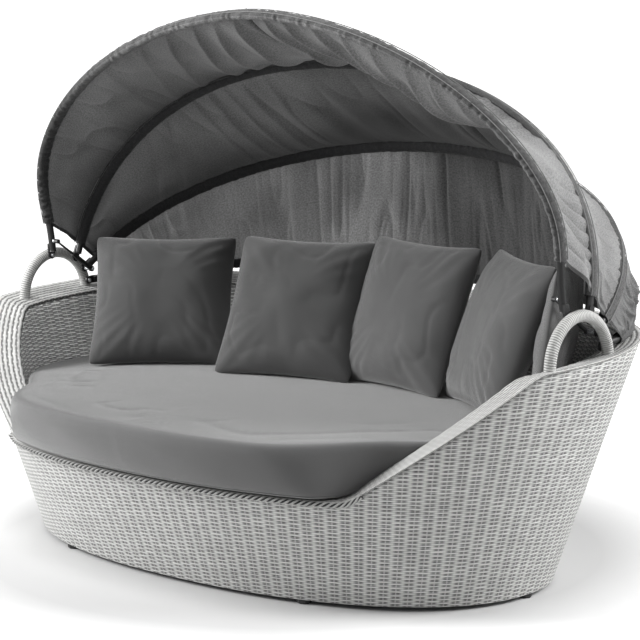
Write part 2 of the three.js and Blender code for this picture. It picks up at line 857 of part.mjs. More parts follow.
// A scatter pillow: plump in the middle, thin at its seam, with drawn-in sides.
// Drawn standing on its lower edge, with its face to the front.
function pillow() {
  const half = pillowSize / 2;
  const front = [];
  const back = [];
  for (let i = 0; i <= pillowCells; i += 1) {
    const frontColumn = [];
    const backColumn = [];
    for (let j = 0; j <= pillowCells; j += 1) {
      const u = Math.sin(((2 * i) / pillowCells - 1) * (Math.PI / 2));
      const v = Math.sin(((2 * j) / pillowCells - 1) * (Math.PI / 2));
      const x = u * (half - pillowDrawIn * (1 - v * v));
      const z = v * (half - pillowDrawIn * (1 - u * u)) + half;
      const plump = (1 - u ** pillowEdgePowerShare) * (1 - v ** pillowEdgePowerShare);
      const swell = plump ** pillowSwellShare;
      const depth = pillowSeam / 2 + (pillowThickness / 2 - pillowSeam / 2) * swell;
      frontColumn.push(new THREE.Vector3(x, -depth, z));
      backColumn.push(new THREE.Vector3(x, depth, z));
    }
    front.push(frontColumn);
    back.push(backColumn);
  }
  return sheetBody(front, back);
}

// Assembly

const daybed = new THREE.Group();

function finish(colour, roughness, metalness) {
  return new THREE.MeshStandardMaterial({ color: colour, roughness, metalness });
}

function place(name, shape, material, parent = daybed) {
  const mesh = new THREE.Mesh(shape, material);
  mesh.name = name;
  parent.add(mesh);
  return mesh;
}

const wicker = () => finish(0xd8d8d6, 0.55, 0);
const wickerInside = () => finish(0xb4b4b2, 0.6, 0);
const frameMetal = () => finish(0xa8aaac, 0.4, 0.8);
const bowPaint = () => finish(0x1c1c1d, 0.45, 0.3);
const brightSteel = () => finish(0xc8cacc, 0.25, 1);
const canopyCloth = () => finish(0x6f7072, 0.9, 0);
const seatCloth = () => finish(0x858687, 0.9, 0);
const glidePlastic = () => finish(0x222222, 0.6, 0);

place('outer_weave', outerWeave(), wicker());
place('inner_weave', innerWeave(), wickerInside());
place('rim_weave', rimWeave(), wicker());
place('front_braid', frontBraid(), wicker());

place('base_ring', baseRing(), frameMetal());
place('deck_ring', deckRing(), frameMetal());
place('rim_ring', rimRing(), frameMetal());
uprightDegrees.forEach((degrees, i) => {
  for (const side of [-1, 1]) {
    const turn = -Math.PI / 2 + side * radians(degrees);
    place(`upright_${side < 0 ? 'left' : 'right'}_${i + 1}`, upright(turn), frameMetal());
  }
});
place('deck_rail_left', deckRail(-railSpacing), frameMetal());
place('deck_rail_centre', deckRail(0), frameMetal());
place('deck_rail_right', deckRail(railSpacing), frameMetal());
place('seat_deck', seatDeck(), wickerInside());
glideDegrees.forEach((degrees, i) => {
  for (const side of [-1, 1]) {
    const turn = -Math.PI / 2 + side * radians(degrees);
    const foot = place(`glide_${side < 0 ? 'left' : 'right'}_${i + 1}`, glide(), glidePlastic());
    foot.position.copy(ovalPoint(turn, baseRingHeight, frameInset)).setZ(0);
  }
});

bows.forEach((bow, i) => {
  const pivot = archPoint(bow.pivotDegrees);
  const hinge = new THREE.Group();
  hinge.position.copy(pivot);
  hinge.rotation.x = radians(bow.planeDegrees - 90);
  daybed.add(hinge);
  place(`bow_${i + 1}`, bowTube(bow), bowPaint(), hinge);
  place(`sleeve_${i + 1}`, sleeve(bow), canopyCloth(), hinge);
});

for (const side of [-1, 1]) {
  const word = side < 0 ? 'left' : 'right';
  const turnRound = side < 0 ? Math.PI : 0;
  place(`handle_${word}`, handle(side), wicker());
  bows.forEach((bow, i) => {
    const shape = i === 2 ? longPivotBolt() : pivotBolt();
    const bolt = place(`pivot_bolt_${i + 1}_${word}`, shape, brightSteel());
    bolt.position.copy(archPoint(bow.pivotDegrees)).setX(side * (tabInside - seatingGap));
    bolt.rotation.z = turnRound;
  });
  const line = new THREE.Group();
  line.position.copy(strutFoot).setX(side * strutX);
  line.rotation.x = strutTilt;
  daybed.add(line);
  place(`strut_tube_${word}`, strutTube(), bowPaint(), line);
  place(`strut_rod_${word}`, strutRod(), bowPaint(), line);
  const stud = place(`ball_stud_${word}`, ballStud(), brightSteel());
  stud.position.copy(strutTop).setX(side * strutX);
  stud.rotation.z = turnRound;
}

const frontCloth = { columns: clothSteps, rows: panelRows, sag: frontSag, tuck: panelTuck };
const middleCloth = { columns: clothSteps, rows: panelRows, sag: middleSag, tuck: panelTuck };
const rearCloth = {
  columns: rearColumns,
  rows: rearRows,
  sag: rearSag,
  folds: rearFolds,
  foldDepth: rearFoldDepth,
};
place('canopy_front', clothPanel(bows[0], bows[1], frontCloth), canopyCloth());
place('canopy_middle', clothPanel(bows[1], bows[2], middleCloth), canopyCloth());
place('canopy_rear', clothPanel(bows[2], bows[3], rearCloth), canopyCloth());

const pad = place('mattress', mattress(), seatCloth());
pad.updateMatrixWorld(true);

// How far a pillow can come down before it meets the top of the mattress
function dropOnto(cushion) {
  cushion.updateMatrixWorld(true);
  const corners = cushion.geometry.getAttribute('position');
  const down = up.clone().negate();
  let drop = Infinity;
  for (let i = 0; i < corners.count; i += 1) {
    const corner = new THREE.Vector3().fromBufferAttribute(corners, i).applyMatrix4(cushion.matrixWorld);
    const [below] = new THREE.Raycaster(corner, down).intersectObject(pad);
    if (below) {
      drop = Math.min(drop, below.distance);
    }
  }
  return drop;
}

pillowPlaces.forEach(({ shares, turnDegrees, leanDegrees, pressShare = 1 }, i) => {
  const cushion = place(`pillow_${i + 1}`, pillow(), seatCloth());
  const x = (shares[0] * tubLength) / 2;
  const y = tubCentre + (shares[1] * tubDepth) / 2;
  cushion.scale.y = pressShare;
  cushion.position.set(x, y, mattressBottom + 2 * mattressThickness);
  cushion.rotation.set(-radians(leanDegrees), 0, radians(turnDegrees), 'ZYX');
  cushion.position.z -= dropOnto(cushion) - 2 * seatingGap;
});

export default daybed;
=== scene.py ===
import math

import bpy
import numpy as np
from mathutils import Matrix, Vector


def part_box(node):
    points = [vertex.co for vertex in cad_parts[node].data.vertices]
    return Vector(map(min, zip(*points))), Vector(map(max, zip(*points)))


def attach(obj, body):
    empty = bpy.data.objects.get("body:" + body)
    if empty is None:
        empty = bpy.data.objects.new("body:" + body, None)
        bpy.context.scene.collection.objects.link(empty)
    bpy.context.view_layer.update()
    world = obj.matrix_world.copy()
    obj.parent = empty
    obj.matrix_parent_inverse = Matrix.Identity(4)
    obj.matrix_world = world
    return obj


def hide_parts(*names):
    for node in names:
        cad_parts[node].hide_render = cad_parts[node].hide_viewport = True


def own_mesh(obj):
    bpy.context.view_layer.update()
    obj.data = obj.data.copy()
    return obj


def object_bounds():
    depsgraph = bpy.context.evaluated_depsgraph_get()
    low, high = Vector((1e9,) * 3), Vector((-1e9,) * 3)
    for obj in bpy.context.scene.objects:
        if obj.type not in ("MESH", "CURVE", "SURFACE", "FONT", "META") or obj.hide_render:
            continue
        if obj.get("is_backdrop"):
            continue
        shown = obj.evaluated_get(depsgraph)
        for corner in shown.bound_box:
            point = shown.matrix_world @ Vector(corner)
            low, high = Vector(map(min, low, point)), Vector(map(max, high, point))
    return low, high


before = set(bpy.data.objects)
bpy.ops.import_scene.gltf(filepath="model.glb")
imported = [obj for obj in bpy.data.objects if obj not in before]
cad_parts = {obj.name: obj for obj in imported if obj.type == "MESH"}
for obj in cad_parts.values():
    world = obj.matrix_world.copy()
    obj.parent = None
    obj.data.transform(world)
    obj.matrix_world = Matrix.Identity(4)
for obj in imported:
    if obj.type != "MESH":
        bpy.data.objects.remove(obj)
cad_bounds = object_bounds()


# Frame of the tub: aluminium tubes and flat bars, cut and welded into rings, uprights
# and deck rails, that carry the weave. Six black plastic glides are pressed in below.

SHARP_FROM = math.radians(50)


def linear(hex_code):
    parts = [int(hex_code[i:i + 2], 16) / 255 for i in (1, 3, 5)]
    return [c / 12.92 if c <= 0.04045 else ((c + 0.055) / 1.055) ** 2.4 for c in parts] + [1.0]


def node(tree, kind, *inputs, **settings):
    """Add a shader node. Inputs come in order or by name, and a node stands for its first output."""
    made = tree.nodes.new(f"ShaderNode{kind}")
    for key, value in settings.items():
        setattr(made, key, value)
    named = inputs[0] if inputs and isinstance(inputs[0], dict) else dict(enumerate(inputs))
    for key, value in named.items():
        if isinstance(value, bpy.types.Node):
            value = value.outputs[0]
        if isinstance(value, bpy.types.NodeSocket):
            tree.links.new(value, made.inputs[key])
        else:
            made.inputs[key].default_value = value
    return made


def material(name):
    made = bpy.data.materials.new(name)
    made.use_nodes = True
    made.node_tree.nodes.clear()
    return made, made.node_tree


def two_tones(tree, scale, dark, light):
    """A grain, whose scale counts over the whole piece, and the colour that it makes of two tones."""
    grain = node(tree, "TexNoise", {"Scale": scale, "Detail": 2.0})
    colour = node(tree, "Mix", {0: grain, 6: linear(dark), 7: linear(light)}, data_type="RGBA")
    return grain, colour.outputs[2]


def cad_paint(piece, paint, rounded=True):
    """Give a CAD piece its material, with soft shading on its round faces."""
    piece.data.materials.clear()
    piece.data.materials.append(paint)
    if rounded:
        piece.data.polygons.foreach_set("use_smooth", [True] * len(piece.data.polygons))
        piece.data.set_sharp_from_angle(angle=SHARP_FROM)


# Mill finish aluminium: bare metal as it was drawn, dull with cloudy highlights
mill_aluminium, tree = material("mill_aluminium")
grain = node(tree, "TexNoise", {"Scale": 40.0, "Detail": 3.0})
rough = node(tree, "MapRange", grain, 0.0, 1.0, 0.3, 0.5)
skin = node(tree, "BsdfPrincipled", {"Base Color": linear("#a9abad"), "Metallic": 0.9, "Roughness": rough})
node(tree, "OutputMaterial", skin)
# Moulded polypropylene: near black and matt, with a fine grain
glide_plastic, tree = material("moulded_polypropylene")
_, colour = two_tones(tree, 300.0, "#202020", "#2c2c2c")
skin = node(tree, "BsdfPrincipled", {"Base Color": colour, "Roughness": 0.6})
node(tree, "OutputMaterial", skin)
for name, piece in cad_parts.items():
    if name.endswith("_ring") or name.startswith("upright"):
        cad_paint(piece, mill_aluminium)
    if name.startswith("deck_rail"):
        cad_paint(piece, mill_aluminium, rounded=False)
    if name.startswith("glide"):
        cad_paint(piece, glide_plastic, rounded=False)


# Outer wall of the tub: flat resin strands, 5 mm high, woven over and behind upright
# ribs about 34 mm apart. The oval wall leans out as it rises, and its rim climbs from
# the low front over the arms to the back.

TUB_Y = -0.02723
FLOOR_HALF_LENGTH, FLOOR_HALF_DEPTH = 0.775, 0.441
END_LEAN, FRONT_LEAN = 0.329, 0.345
OVAL_POWER = 2.2
FRONT_RIM, ARM_RISE, BACK_RISE = 0.278, 0.31, 0.032
ARM_START, ARM_SPAN, BACK_SPAN = 40, 37, 41
LEDGE_WIDTH, LEDGE_TIP, LEDGE_DEPTH = 0.084, 0.022, 0.0065
WALL_THICKNESS = 0.006
GLIDE_HEIGHT = 0.011
RIBS, EVEN_RIBS_AT = 138, 0.3
STRAND = 0.005


def tub_point(turn, height, inset):
    power = 2 / OVAL_POWER
    a = FLOOR_HALF_LENGTH + END_LEAN * height - inset
    b = FLOOR_HALF_DEPTH + FRONT_LEAN * height - inset
    x = a * np.sign(np.cos(turn)) * np.abs(np.cos(turn)) ** power
    y = b * np.sign(np.sin(turn)) * np.abs(np.sin(turn)) ** power
    return np.stack(np.broadcast_arrays(x, TUB_Y + y, height), -1)


def from_front(turn):
    """Degrees round the tub from the middle of its front, the same on both sides."""
    folded = np.mod(np.degrees(turn) + 90, 360)
    return np.minimum(folded, 360 - folded)


def ramp(share, soft=0.06):
    """A straight climb from 0 to 1 with soft ends."""
    share = np.asarray(share, float)
    low = (np.clip(share, -soft, soft) + soft) ** 2 / (4 * soft)
    high = 1 - (1 + soft - np.clip(share, 1 - soft, 1 + soft)) ** 2 / (4 * soft)
    return np.where(share < soft, low, np.where(share > 1 - soft, high, share))


def arm_share(turn):
    return ramp((from_front(turn) - ARM_START) / ARM_SPAN)


def rim_height(turn):
    back = ramp((from_front(turn) - ARM_START - ARM_SPAN) / BACK_SPAN)
    return FRONT_RIM + ARM_RISE * arm_share(turn) + BACK_RISE * back


def ledge_top(turn, inset):
    return rim_height(turn) - LEDGE_TIP * arm_share(turn) * inset / LEDGE_WIDTH


def mesh(name, points, faces, uv=None, smooth=True):
    data = bpy.data.meshes.new(name)
    data.from_pydata([tuple(map(float, p)) for p in points], [], [tuple(map(int, f)) for f in faces])
    if uv is not None:
        layer = data.uv_layers.new(name="UVMap")
        corners = np.array([c for f in faces for c in f])
        layer.data.foreach_set("uv", np.asarray(uv, float)[corners].ravel())
    data.update()
    if smooth:
        data.polygons.foreach_set("use_smooth", [True] * len(data.polygons))
    made = bpy.data.objects.new(name, data)
    bpy.context.scene.collection.objects.link(made)
    return made


def grid_faces(rows, columns):
    i, j = np.meshgrid(np.arange(rows - 1), np.arange(columns - 1), indexing="ij")
    start = i * columns + j
    return np.stack([start, start + 1, start + columns + 1, start + columns], -1).reshape(-1, 4).tolist()


def fit(piece, finish, body, cad_name=None):
    """Give a piece its material, and set it on its body in place of its CAD node."""
    piece.data.materials.append(finish)
    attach(piece, body)
    if cad_name:
        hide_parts(cad_name)


def off_middle(tree, count):
    """How far a place lies from the middle of its strand: 0 there and 1 at the strand's edge."""
    near = node(tree, "Math", count, 0.5, operation="PINGPONG")
    return node(tree, "Math", near, -2.0, 1.0, operation="MULTIPLY_ADD")


def wicker(name, light, gap_shade, shadow, dips=(-0.1, -0.75)):
    """Woven resin strand, pale and slightly glossy. UV counts ribs across and strands up."""
    made, tree = material(name)
    uv = node(tree, "UVMap", uv_map="UVMap")
    split = node(tree, "SeparateXYZ", uv)
    rib, strand_up = split.outputs[0], split.outputs[1]
    wobble = node(tree, "TexNoise", {"Vector": uv, "Scale": 0.9, "Detail": 1.0})
    rise = node(tree, "Math", wobble, 0.6, strand_up, operation="MULTIPLY_ADD")
    row = node(tree, "Math", rise, operation="FLOOR")
    across = off_middle(tree, rise)
    turn = node(tree, "Math", rib, row, operation="ADD")
    turn = node(tree, "Math", turn, math.pi, operation="MULTIPLY")
    swing = node(tree, "Math", turn, operation="COSINE")
    to_rib = node(tree, "Math", rib, 0.5, operation="PINGPONG")
    between = node(tree, "MapRange", to_rib, 0.03, 0.08, 0.45, 1.0)
    # Painted shade: gap colour where a strand dips behind a rib, lighter on the rib, and at strand edges
    dip = node(tree, "MapRange", swing, dips[0], dips[1], 0.0, 1.0)
    edge = node(tree, "MapRange", across, 0.05, 0.6, 0.3, 1.0)
    dip_shade = node(tree, "Math", dip, edge, operation="MULTIPLY")
    dip_shade = node(tree, "Math", dip_shade, between, operation="MULTIPLY")
    seam = node(tree, "MapRange", across, 0.7, 1.0, 0.0, shadow)
    dark = node(tree, "Math", dip_shade, seam, operation="MAXIMUM")
    pair = node(tree, "Math", rib, 0.5, operation="MULTIPLY")
    pair = node(tree, "Math", pair, operation="FLOOR")
    place = node(tree, "CombineXYZ", pair, row)
    shade = node(tree, "TexWhiteNoise", {"Vector": place}, noise_dimensions="2D")
    tone = node(tree, "MapRange", shade, 0.0, 1.0, 0.88, 1.06)
    strand = node(tree, "VectorMath", {0: linear(light)[:3], 3: tone}, operation="SCALE")
    colour = node(tree, "Mix", {0: dark, 6: strand, 7: linear(gap_shade)}, data_type="RGBA").outputs[2]
    rounding = node(tree, "Math", across, across, operation="MULTIPLY")
    rounding = node(tree, "Math", rounding, -0.7, operation="MULTIPLY")
    height = node(tree, "Math", swing, 0.6, rounding, operation="MULTIPLY_ADD")
    relief = node(tree, "Bump", {"Strength": 0.7, "Distance": 0.002, "Height": height})
    skin = node(tree, "BsdfPrincipled", {"Base Color": colour, "Roughness": 0.5, "Normal": relief})
    node(tree, "OutputMaterial", skin)
    return made


def ring_skin(name, rows, columns=512):
    """A skin round the tub: each row gives a height, an inset and a strand count for every turn."""
    turn = np.linspace(0, 2 * math.pi, columns + 1) - math.pi / 2
    middle = tub_point(turn, EVEN_RIBS_AT, 0.0)
    steps = np.linalg.norm(np.diff(middle, axis=0), axis=1)
    ribs = RIBS * np.concatenate([[0], np.cumsum(steps)]) / steps.sum()
    points, uv = [], []
    for height, inset, strands in rows(turn):
        points.append(tub_point(turn, np.broadcast_to(height, turn.shape), inset))
        uv.append(np.stack([ribs, np.broadcast_to(strands, turn.shape)], -1))
    return mesh(name, np.concatenate(points), grid_faces(len(points), columns + 1), np.concatenate(uv))


def wall_rows(low, face, back, count):
    """Rows of a wall that climbs from a low edge to the ledge and has its own thickness."""
    def rows(turn):
        top = ledge_top(turn, face) - LEDGE_DEPTH
        for share in np.linspace(0, 1, count):
            height = low + (top - low) * share
            yield height, face, height / STRAND
        yield top, back, top / STRAND + 1
        yield low, back, 0
        yield low, face, 0
    return rows


# Near-black painted shade in the gaps and dips, and grey painted shade at the strands' edges
wicker_outside = wicker("wicker_outside", "#dededc", "#161616", 0.42)
outer = ring_skin("outer_weave_strands", wall_rows(GLIDE_HEIGHT, 0.0, WALL_THICKNESS, 24))
fit(outer, wicker_outside, "tub", "outer_weave")


# Inner wall of the tub: the same strand woven over the inner side of the ribs, from
# below the mattress up to the ledge. Its gaps carry a paler painted shade, as the wall
# behind is as pale. The slats of the deck are of the same strand.

INNER_LOW = 0.266

wicker_inside = wicker("wicker_inside", "#f4f4f2", "#6a6a6a", 0.33, dips=(0.35, -0.2))
inner_rows = wall_rows(INNER_LOW, LEDGE_WIDTH, LEDGE_WIDTH - WALL_THICKNESS, 16)
inner = ring_skin("inner_weave_strands", inner_rows)
fit(inner, wicker_inside, "tub", "inner_weave")
cad_paint(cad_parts["seat_deck"], wicker_inside, rounded=False)


# Ledge on top of the wall: rows of strand that run lengthways round the tub and are
# stitched over the ribs. Its outer edge is rolled over, and it tips inwards on the arms
# and the back.

LEDGE_ROW, LEDGE_THICKNESS = 0.0125, 0.006
SCALLOP = 0.0026


def ledge_rows(turn):
    scallop = SCALLOP * np.abs(np.sin(0.5 * math.pi * RIBS * (turn + math.pi / 2) / math.pi))
    for below, roll, strands in ((LEDGE_THICKNESS, 0.0, -2.0), (0.0045, -0.0026, -1.4),
                                 (0.0022, -0.0028, -0.8), (0.0004, -0.0012, -0.3)):
        yield ledge_top(turn, 0) - below, roll, strands
    for inset in np.linspace(0.001, LEDGE_WIDTH, 12):
        waved = inset + scallop * (inset / LEDGE_WIDTH) ** 3
        yield ledge_top(turn, inset), waved, inset / LEDGE_ROW
    yield ledge_top(turn, LEDGE_WIDTH) - LEDGE_THICKNESS, LEDGE_WIDTH + scallop, 7.2
    yield ledge_top(turn, 0) - LEDGE_THICKNESS, 0.0, 7.7


# Woven resin strand laid in rows, with painted shade in the slits between them where no
# stitch holds, and along the rows' edges
wicker_ledge, tree = material("wicker_ledge")
uv = node(tree, "UVMap", uv_map="UVMap")
split = node(tree, "SeparateXYZ", uv)
rib, strand_in = split.outputs[0], split.outputs[1]
row = node(tree, "Math", strand_in, operation="FLOOR")
across = off_middle(tree, strand_in)
shift = node(tree, "Math", row, 0.5, operation="MULTIPLY")
stitches = node(tree, "Math", rib, 1.4, shift, operation="MULTIPLY_ADD")
from_stitch = off_middle(tree, stitches)
slack = node(tree, "MapRange", strand_in, 1.8, 4.5, 0.9, 1.0)
slit = node(tree, "MapRange", across, 0.42, 0.65, 0.0, 0.8)
length = node(tree, "MapRange", from_stitch, 0.12, 0.3, 0.0, 1.0)
shaded_slits = node(tree, "Math", slit, length, operation="MULTIPLY")
shaded_slits = node(tree, "Math", shaded_slits, slack, operation="MULTIPLY")
seam = node(tree, "MapRange", across, 0.65, 0.9, 0.0, 0.48)
stitch = node(tree, "Math", stitches, operation="FLOOR")
place = node(tree, "CombineXYZ", stitch, row)
shade = node(tree, "TexWhiteNoise", {"Vector": place}, noise_dimensions="2D")
tone = node(tree, "MapRange", shade, 0.0, 1.0, 0.86, 1.04)
strand = node(tree, "VectorMath", {0: linear("#d8d8d6")[:3], 3: tone}, operation="SCALE")
dark = node(tree, "Math", shaded_slits, seam, operation="MAXIMUM")
colour = node(tree, "Mix", {0: dark, 6: strand, 7: linear("#383838")}, data_type="RGBA").outputs[2]
low = node(tree, "Math", across, across, shaded_slits, operation="MULTIPLY_ADD")
height = node(tree, "Math", 1.0, low, operation="SUBTRACT")
relief = node(tree, "Bump", {"Strength": 0.6, "Distance": 0.0015, "Height": height})
skin = node(tree, "BsdfPrincipled", {"Base Color": colour, "Roughness": 0.5, "Normal": relief})
node(tree, "OutputMaterial", skin)
ledge = ring_skin("rim_weave_strands", ledge_rows)
fit(ledge, wicker_ledge, "tub", "rim_weave")


# Braided border of the front rim: three round strands twisted round each other over a
# dark core that stands in as painted shade between them, laid along the edge of the weave
# and stitched to it.

BRAID_LEFT, BRAID_RIGHT = 41, 43
BRAID_PITCH = 0.052
BRAID_STRAND, BRAID_CORE = 0.0026, 0.0054
BRAID_BELOW, BRAID_OUT = 0.007, 0.0105


def sweep(path, radius, sides, flat):
    """Round tube points along a path, with its length and turn as UV. flat points at the first side."""
    path = np.asarray(path, float)
    along = np.gradient(path, axis=0)
    along /= np.linalg.norm(along, axis=1)[:, None]
    side = np.tile(np.asarray(flat, float), (len(path), 1))
    side -= along * np.sum(side * along, 1)[:, None]
    side /= np.linalg.norm(side, axis=1)[:, None]
    other = np.cross(along, side)
    turn = np.linspace(0, 2 * math.pi, sides + 1)
    ring = np.cos(turn)[None, :, None] * side[:, None] + np.sin(turn)[None, :, None] * other[:, None]
    points = (path[:, None] + radius * ring).reshape(-1, 3)
    length = np.concatenate([[0], np.cumsum(np.linalg.norm(np.diff(path, axis=0), axis=1))])
    uv = np.stack(np.meshgrid(length, turn, indexing="ij"), -1).reshape(-1, 2)
    return points, grid_faces(len(path), sides + 1), uv


def tube(name, path, radius, sides, flat):
    """A swept tube with closed ends."""
    points, faces, uv = sweep(path, radius, sides, flat)
    last = len(points) - sides - 1
    faces = faces + [list(range(sides)), list(range(last, len(points) - 1))[::-1]]
    return mesh(name, points, faces, uv)


# Resin strand: pale with darker spots, as the twists shade each other
resin_strand, tree = material("resin_strand")
_, colour = two_tones(tree, 60.0, "#8c8c8a", "#ccccca")
skin = node(tree, "BsdfPrincipled", {"Base Color": colour, "Roughness": 0.45})
node(tree, "OutputMaterial", skin)
# A near-black core: painted shade that shows as the dark between the strands
braid_shade_core, tree = material("braid_shade_core")
_, colour = two_tones(tree, 90.0, "#141414", "#303030")
skin = node(tree, "BsdfPrincipled", {"Base Color": colour, "Roughness": 0.6})
node(tree, "OutputMaterial", skin)
front = -math.pi / 2
turn = np.linspace(front - math.radians(BRAID_LEFT), front + math.radians(BRAID_RIGHT), 900)
height = rim_height(turn) - BRAID_BELOW
line = tub_point(turn, height, -BRAID_OUT)
outward = tub_point(turn, height, -BRAID_OUT - 0.01) - line
outward /= np.linalg.norm(outward, axis=1)[:, None]
length = np.concatenate([[0], np.cumsum(np.linalg.norm(np.diff(line, axis=0), axis=1))])
points, faces, uv = [], [], []
for strand in range(3):
    spin = 2 * math.pi * (length / BRAID_PITCH + strand / 3)
    away = np.cos(spin)[:, None] * outward + np.sin(spin)[:, None] * np.array([0, 0, 1.0])
    more, joined, more_uv = sweep(line + BRAID_CORE * away, BRAID_STRAND, 6, [0, 0, 1])
    start = sum(len(p) for p in points)
    faces += [[start + c for c in f] for f in joined]
    points.append(more)
    uv.append(more_uv)
braid = mesh("front_braid_strands", np.concatenate(points), faces, np.concatenate(uv))
fit(braid, resin_strand, "tub", "front_braid")
core = tube("front_braid_shade_core", line, BRAID_CORE, 10, [0, 0, 1])
fit(core, braid_shade_core, "tub")


# Handles: an arch of tube on each arm, wound all the way with the same flat strand and
# set into the ledge. The canopy bows are bolted to their inner sides.

HANDLE_X, HANDLE_Y, HANDLE_Z = 0.91379, TUB_Y + 0.019, 0.58296
HANDLE_HALF, HANDLE_RISE, HANDLE_LEGS = 0.1135, 0.115, 0.028
HANDLE_RADIUS = 0.0145
WINDING = 0.0056


def arch(degrees):
    turn = np.radians(degrees)
    y = HANDLE_Y + HANDLE_HALF * np.cos(turn)
    z = HANDLE_Z + HANDLE_RISE * np.sin(turn)
    return np.stack([np.zeros_like(y), y, z], -1)


# Resin strand wound on a tube: pale turns 5.6 mm wide, each rounded, with dark seams
wound_strand, tree = material("wound_strand")
uv = node(tree, "UVMap", uv_map="UVMap")
split = node(tree, "SeparateXYZ", uv)
turns = node(tree, "Math", split.outputs[0], WINDING, operation="DIVIDE")
spiral = node(tree, "Math", split.outputs[1], 2 * math.pi, operation="DIVIDE")
turns = node(tree, "Math", turns, spiral, operation="ADD")
across = off_middle(tree, turns)
seam = node(tree, "MapRange", across, 0.5, 1.0, 0.0, 0.95)
number = node(tree, "Math", turns, operation="FLOOR")
shade = node(tree, "TexWhiteNoise", {"W": number}, noise_dimensions="1D")
tone = node(tree, "MapRange", shade, 0.0, 1.0, 0.92, 1.03)
strand = node(tree, "VectorMath", {0: linear("#d0d0ce")[:3], 3: tone}, operation="SCALE")
colour = node(tree, "Mix", {0: seam, 6: strand, 7: linear("#3a3a3a")}, data_type="RGBA").outputs[2]
low = node(tree, "Math", across, across, operation="MULTIPLY")
height = node(tree, "Math", 1.0, low, operation="SUBTRACT")
relief = node(tree, "Bump", {"Strength": 0.8, "Distance": 0.0012, "Height": height})
skin = node(tree, "BsdfPrincipled", {"Base Color": colour, "Roughness": 0.45, "Normal": relief})
node(tree, "OutputMaterial", skin)
for word, side in (("left", -1), ("right", 1)):
    bend = arch(np.linspace(180, 0, 90))
    legs = np.linspace(HANDLE_Z - HANDLE_LEGS, HANDLE_Z - 0.002, 8)
    start = np.stack([legs * 0, legs * 0 + bend[0, 1], legs], -1)
    end = np.stack([legs * 0, legs * 0 + bend[-1, 1], legs[::-1]], -1)
    path = np.concatenate([start, bend, end]) + np.array([side * HANDLE_X, 0, 0])
    handle = tube(f"handle_{word}_wound", path, HANDLE_RADIUS, 24, [1, 0, 0])
    fit(handle, wound_strand, "tub", f"handle_{word}")


# Canopy bows: steel tube, bent to an arch and powder-coated black, with both ends
# pressed flat round the pivot bolts.

# The pivot's angle on the handle, the bow's own angle, its height, how square it is, its
# bulge, where its cloth starts, and the body that it moves with
BOWS = [
    (104, 99.1, 0.6951, 1.725, 0.1345, 0.100, "front_bow"),
    (57, 74.4, 0.5890, 2.188, 0.0, 0.062, "second_bow"),
    (34, 36.7, 0.6065, 1.98, 0.016, 0.044, "third_bow"),
    (14, 5.45, 0.4860, 2.3, 0.0, 0.084, "tub"),
]
BOW_RADIUS = 0.0095
WASHER = 0.0008
HALF_SPAN = HANDLE_X - HANDLE_RADIUS - WASHER - BOW_RADIUS
TAB_HALF, TAB_TOP = 0.0105, 0.012
TAB_INSIDE, TAB_OUTSIDE = 0.0045, 0.0094
ACROSS = np.array([1.0, 0, 0])


def bow_plane(index):
    """A bow's pivot on the handle, and its upward and rearward directions."""
    pivot_at, plane = BOWS[index][:2]
    cos, sin = math.cos(math.radians(plane)), math.sin(math.radians(plane))
    return arch(np.array(float(pivot_at))), np.array([0, cos, sin]), np.array([0, sin, -cos])


def bow_frame(index, turns):
    """Places on a bow's centre line with the outward and rearward directions there."""
    height, power, bulge = BOWS[index][2:5]
    pivot, up, rear = bow_plane(index)

    def place_at(turn):
        cos = np.cos(turn)
        legs = bulge * np.sin(2 * turn) * (1 - np.abs(cos) ** 30)
        x = HALF_SPAN * (np.sign(cos) * np.abs(cos) ** (2 / power) + legs)
        return x, height * np.abs(np.sin(turn)) ** (2 / power)

    x, z = place_at(turns)
    ahead, behind = place_at(turns + 0.002), place_at(turns - 0.002)
    dx, dz = ahead[0] - behind[0], ahead[1] - behind[1]
    size = np.hypot(dx, dz)
    place = pivot + x[:, None] * ACROSS + z[:, None] * up
    outward = (dz / size)[:, None] * ACROSS - (dx / size)[:, None] * up
    return place, outward, rear


# Steel under a black powder coat: satin, with a faint orange peel
black_powder_coat, tree = material("black_powder_coat")
grain, colour = two_tones(tree, 900.0, "#161617", "#242424")
relief = node(tree, "Bump", {"Strength": 0.15, "Distance": 0.0004, "Height": grain})
skin = node(tree, "BsdfPrincipled", {"Base Color": colour, "Roughness": 0.42, "Normal": relief})
node(tree, "OutputMaterial", skin)
half_turn = np.linspace(math.pi, 2 * math.pi, 15)
tab_outline = [(-TAB_HALF, TAB_TOP), *((TAB_HALF * math.cos(a), TAB_HALF * math.sin(a)) for a in half_turn),
               (TAB_HALF, TAB_TOP), (0.0098, 0.024), (0.0085, 0.034), (-0.0085, 0.034), (-0.0098, 0.024)]
for index, row in enumerate(BOWS):
    height, power, body = row[2], row[3], row[6]
    pivot, up, rear = bow_plane(index)
    first = math.asin((TAB_TOP / height) ** (power / 2))
    place = bow_frame(index, np.linspace(first, math.pi - first, 240))[0]
    bow = tube(f"bow_{index + 1}_tube", place, BOW_RADIUS, 20, rear)
    fit(bow, black_powder_coat, body, f"bow_{index + 1}")
    points, faces = [], []
    for side in (-1, 1):
        start, count = len(points), len(tab_outline)
        for x in (HALF_SPAN + TAB_INSIDE, HALF_SPAN + TAB_OUTSIDE):
            points += [pivot + side * x * ACROSS - p * rear + q * up for p, q in tab_outline]
        faces.append([start + k for k in range(count)][::side])
        faces.append([start + count + k for k in range(count)][::-side])
        for k in range(count):
            after = (k + 1) % count
            faces.append([start + k, start + after, start + count + after, start + count + k][::-side])
    tabs = mesh(f"bow_{index + 1}_ends", points, faces, smooth=False)
    fit(tabs, black_powder_coat, body)


# Pivot bolts, ball studs and struts: turned bolts and studs of zinc-plated steel, and
# telescopic rods and tubes under the bows' black coat. They keep the shape of the CAD.

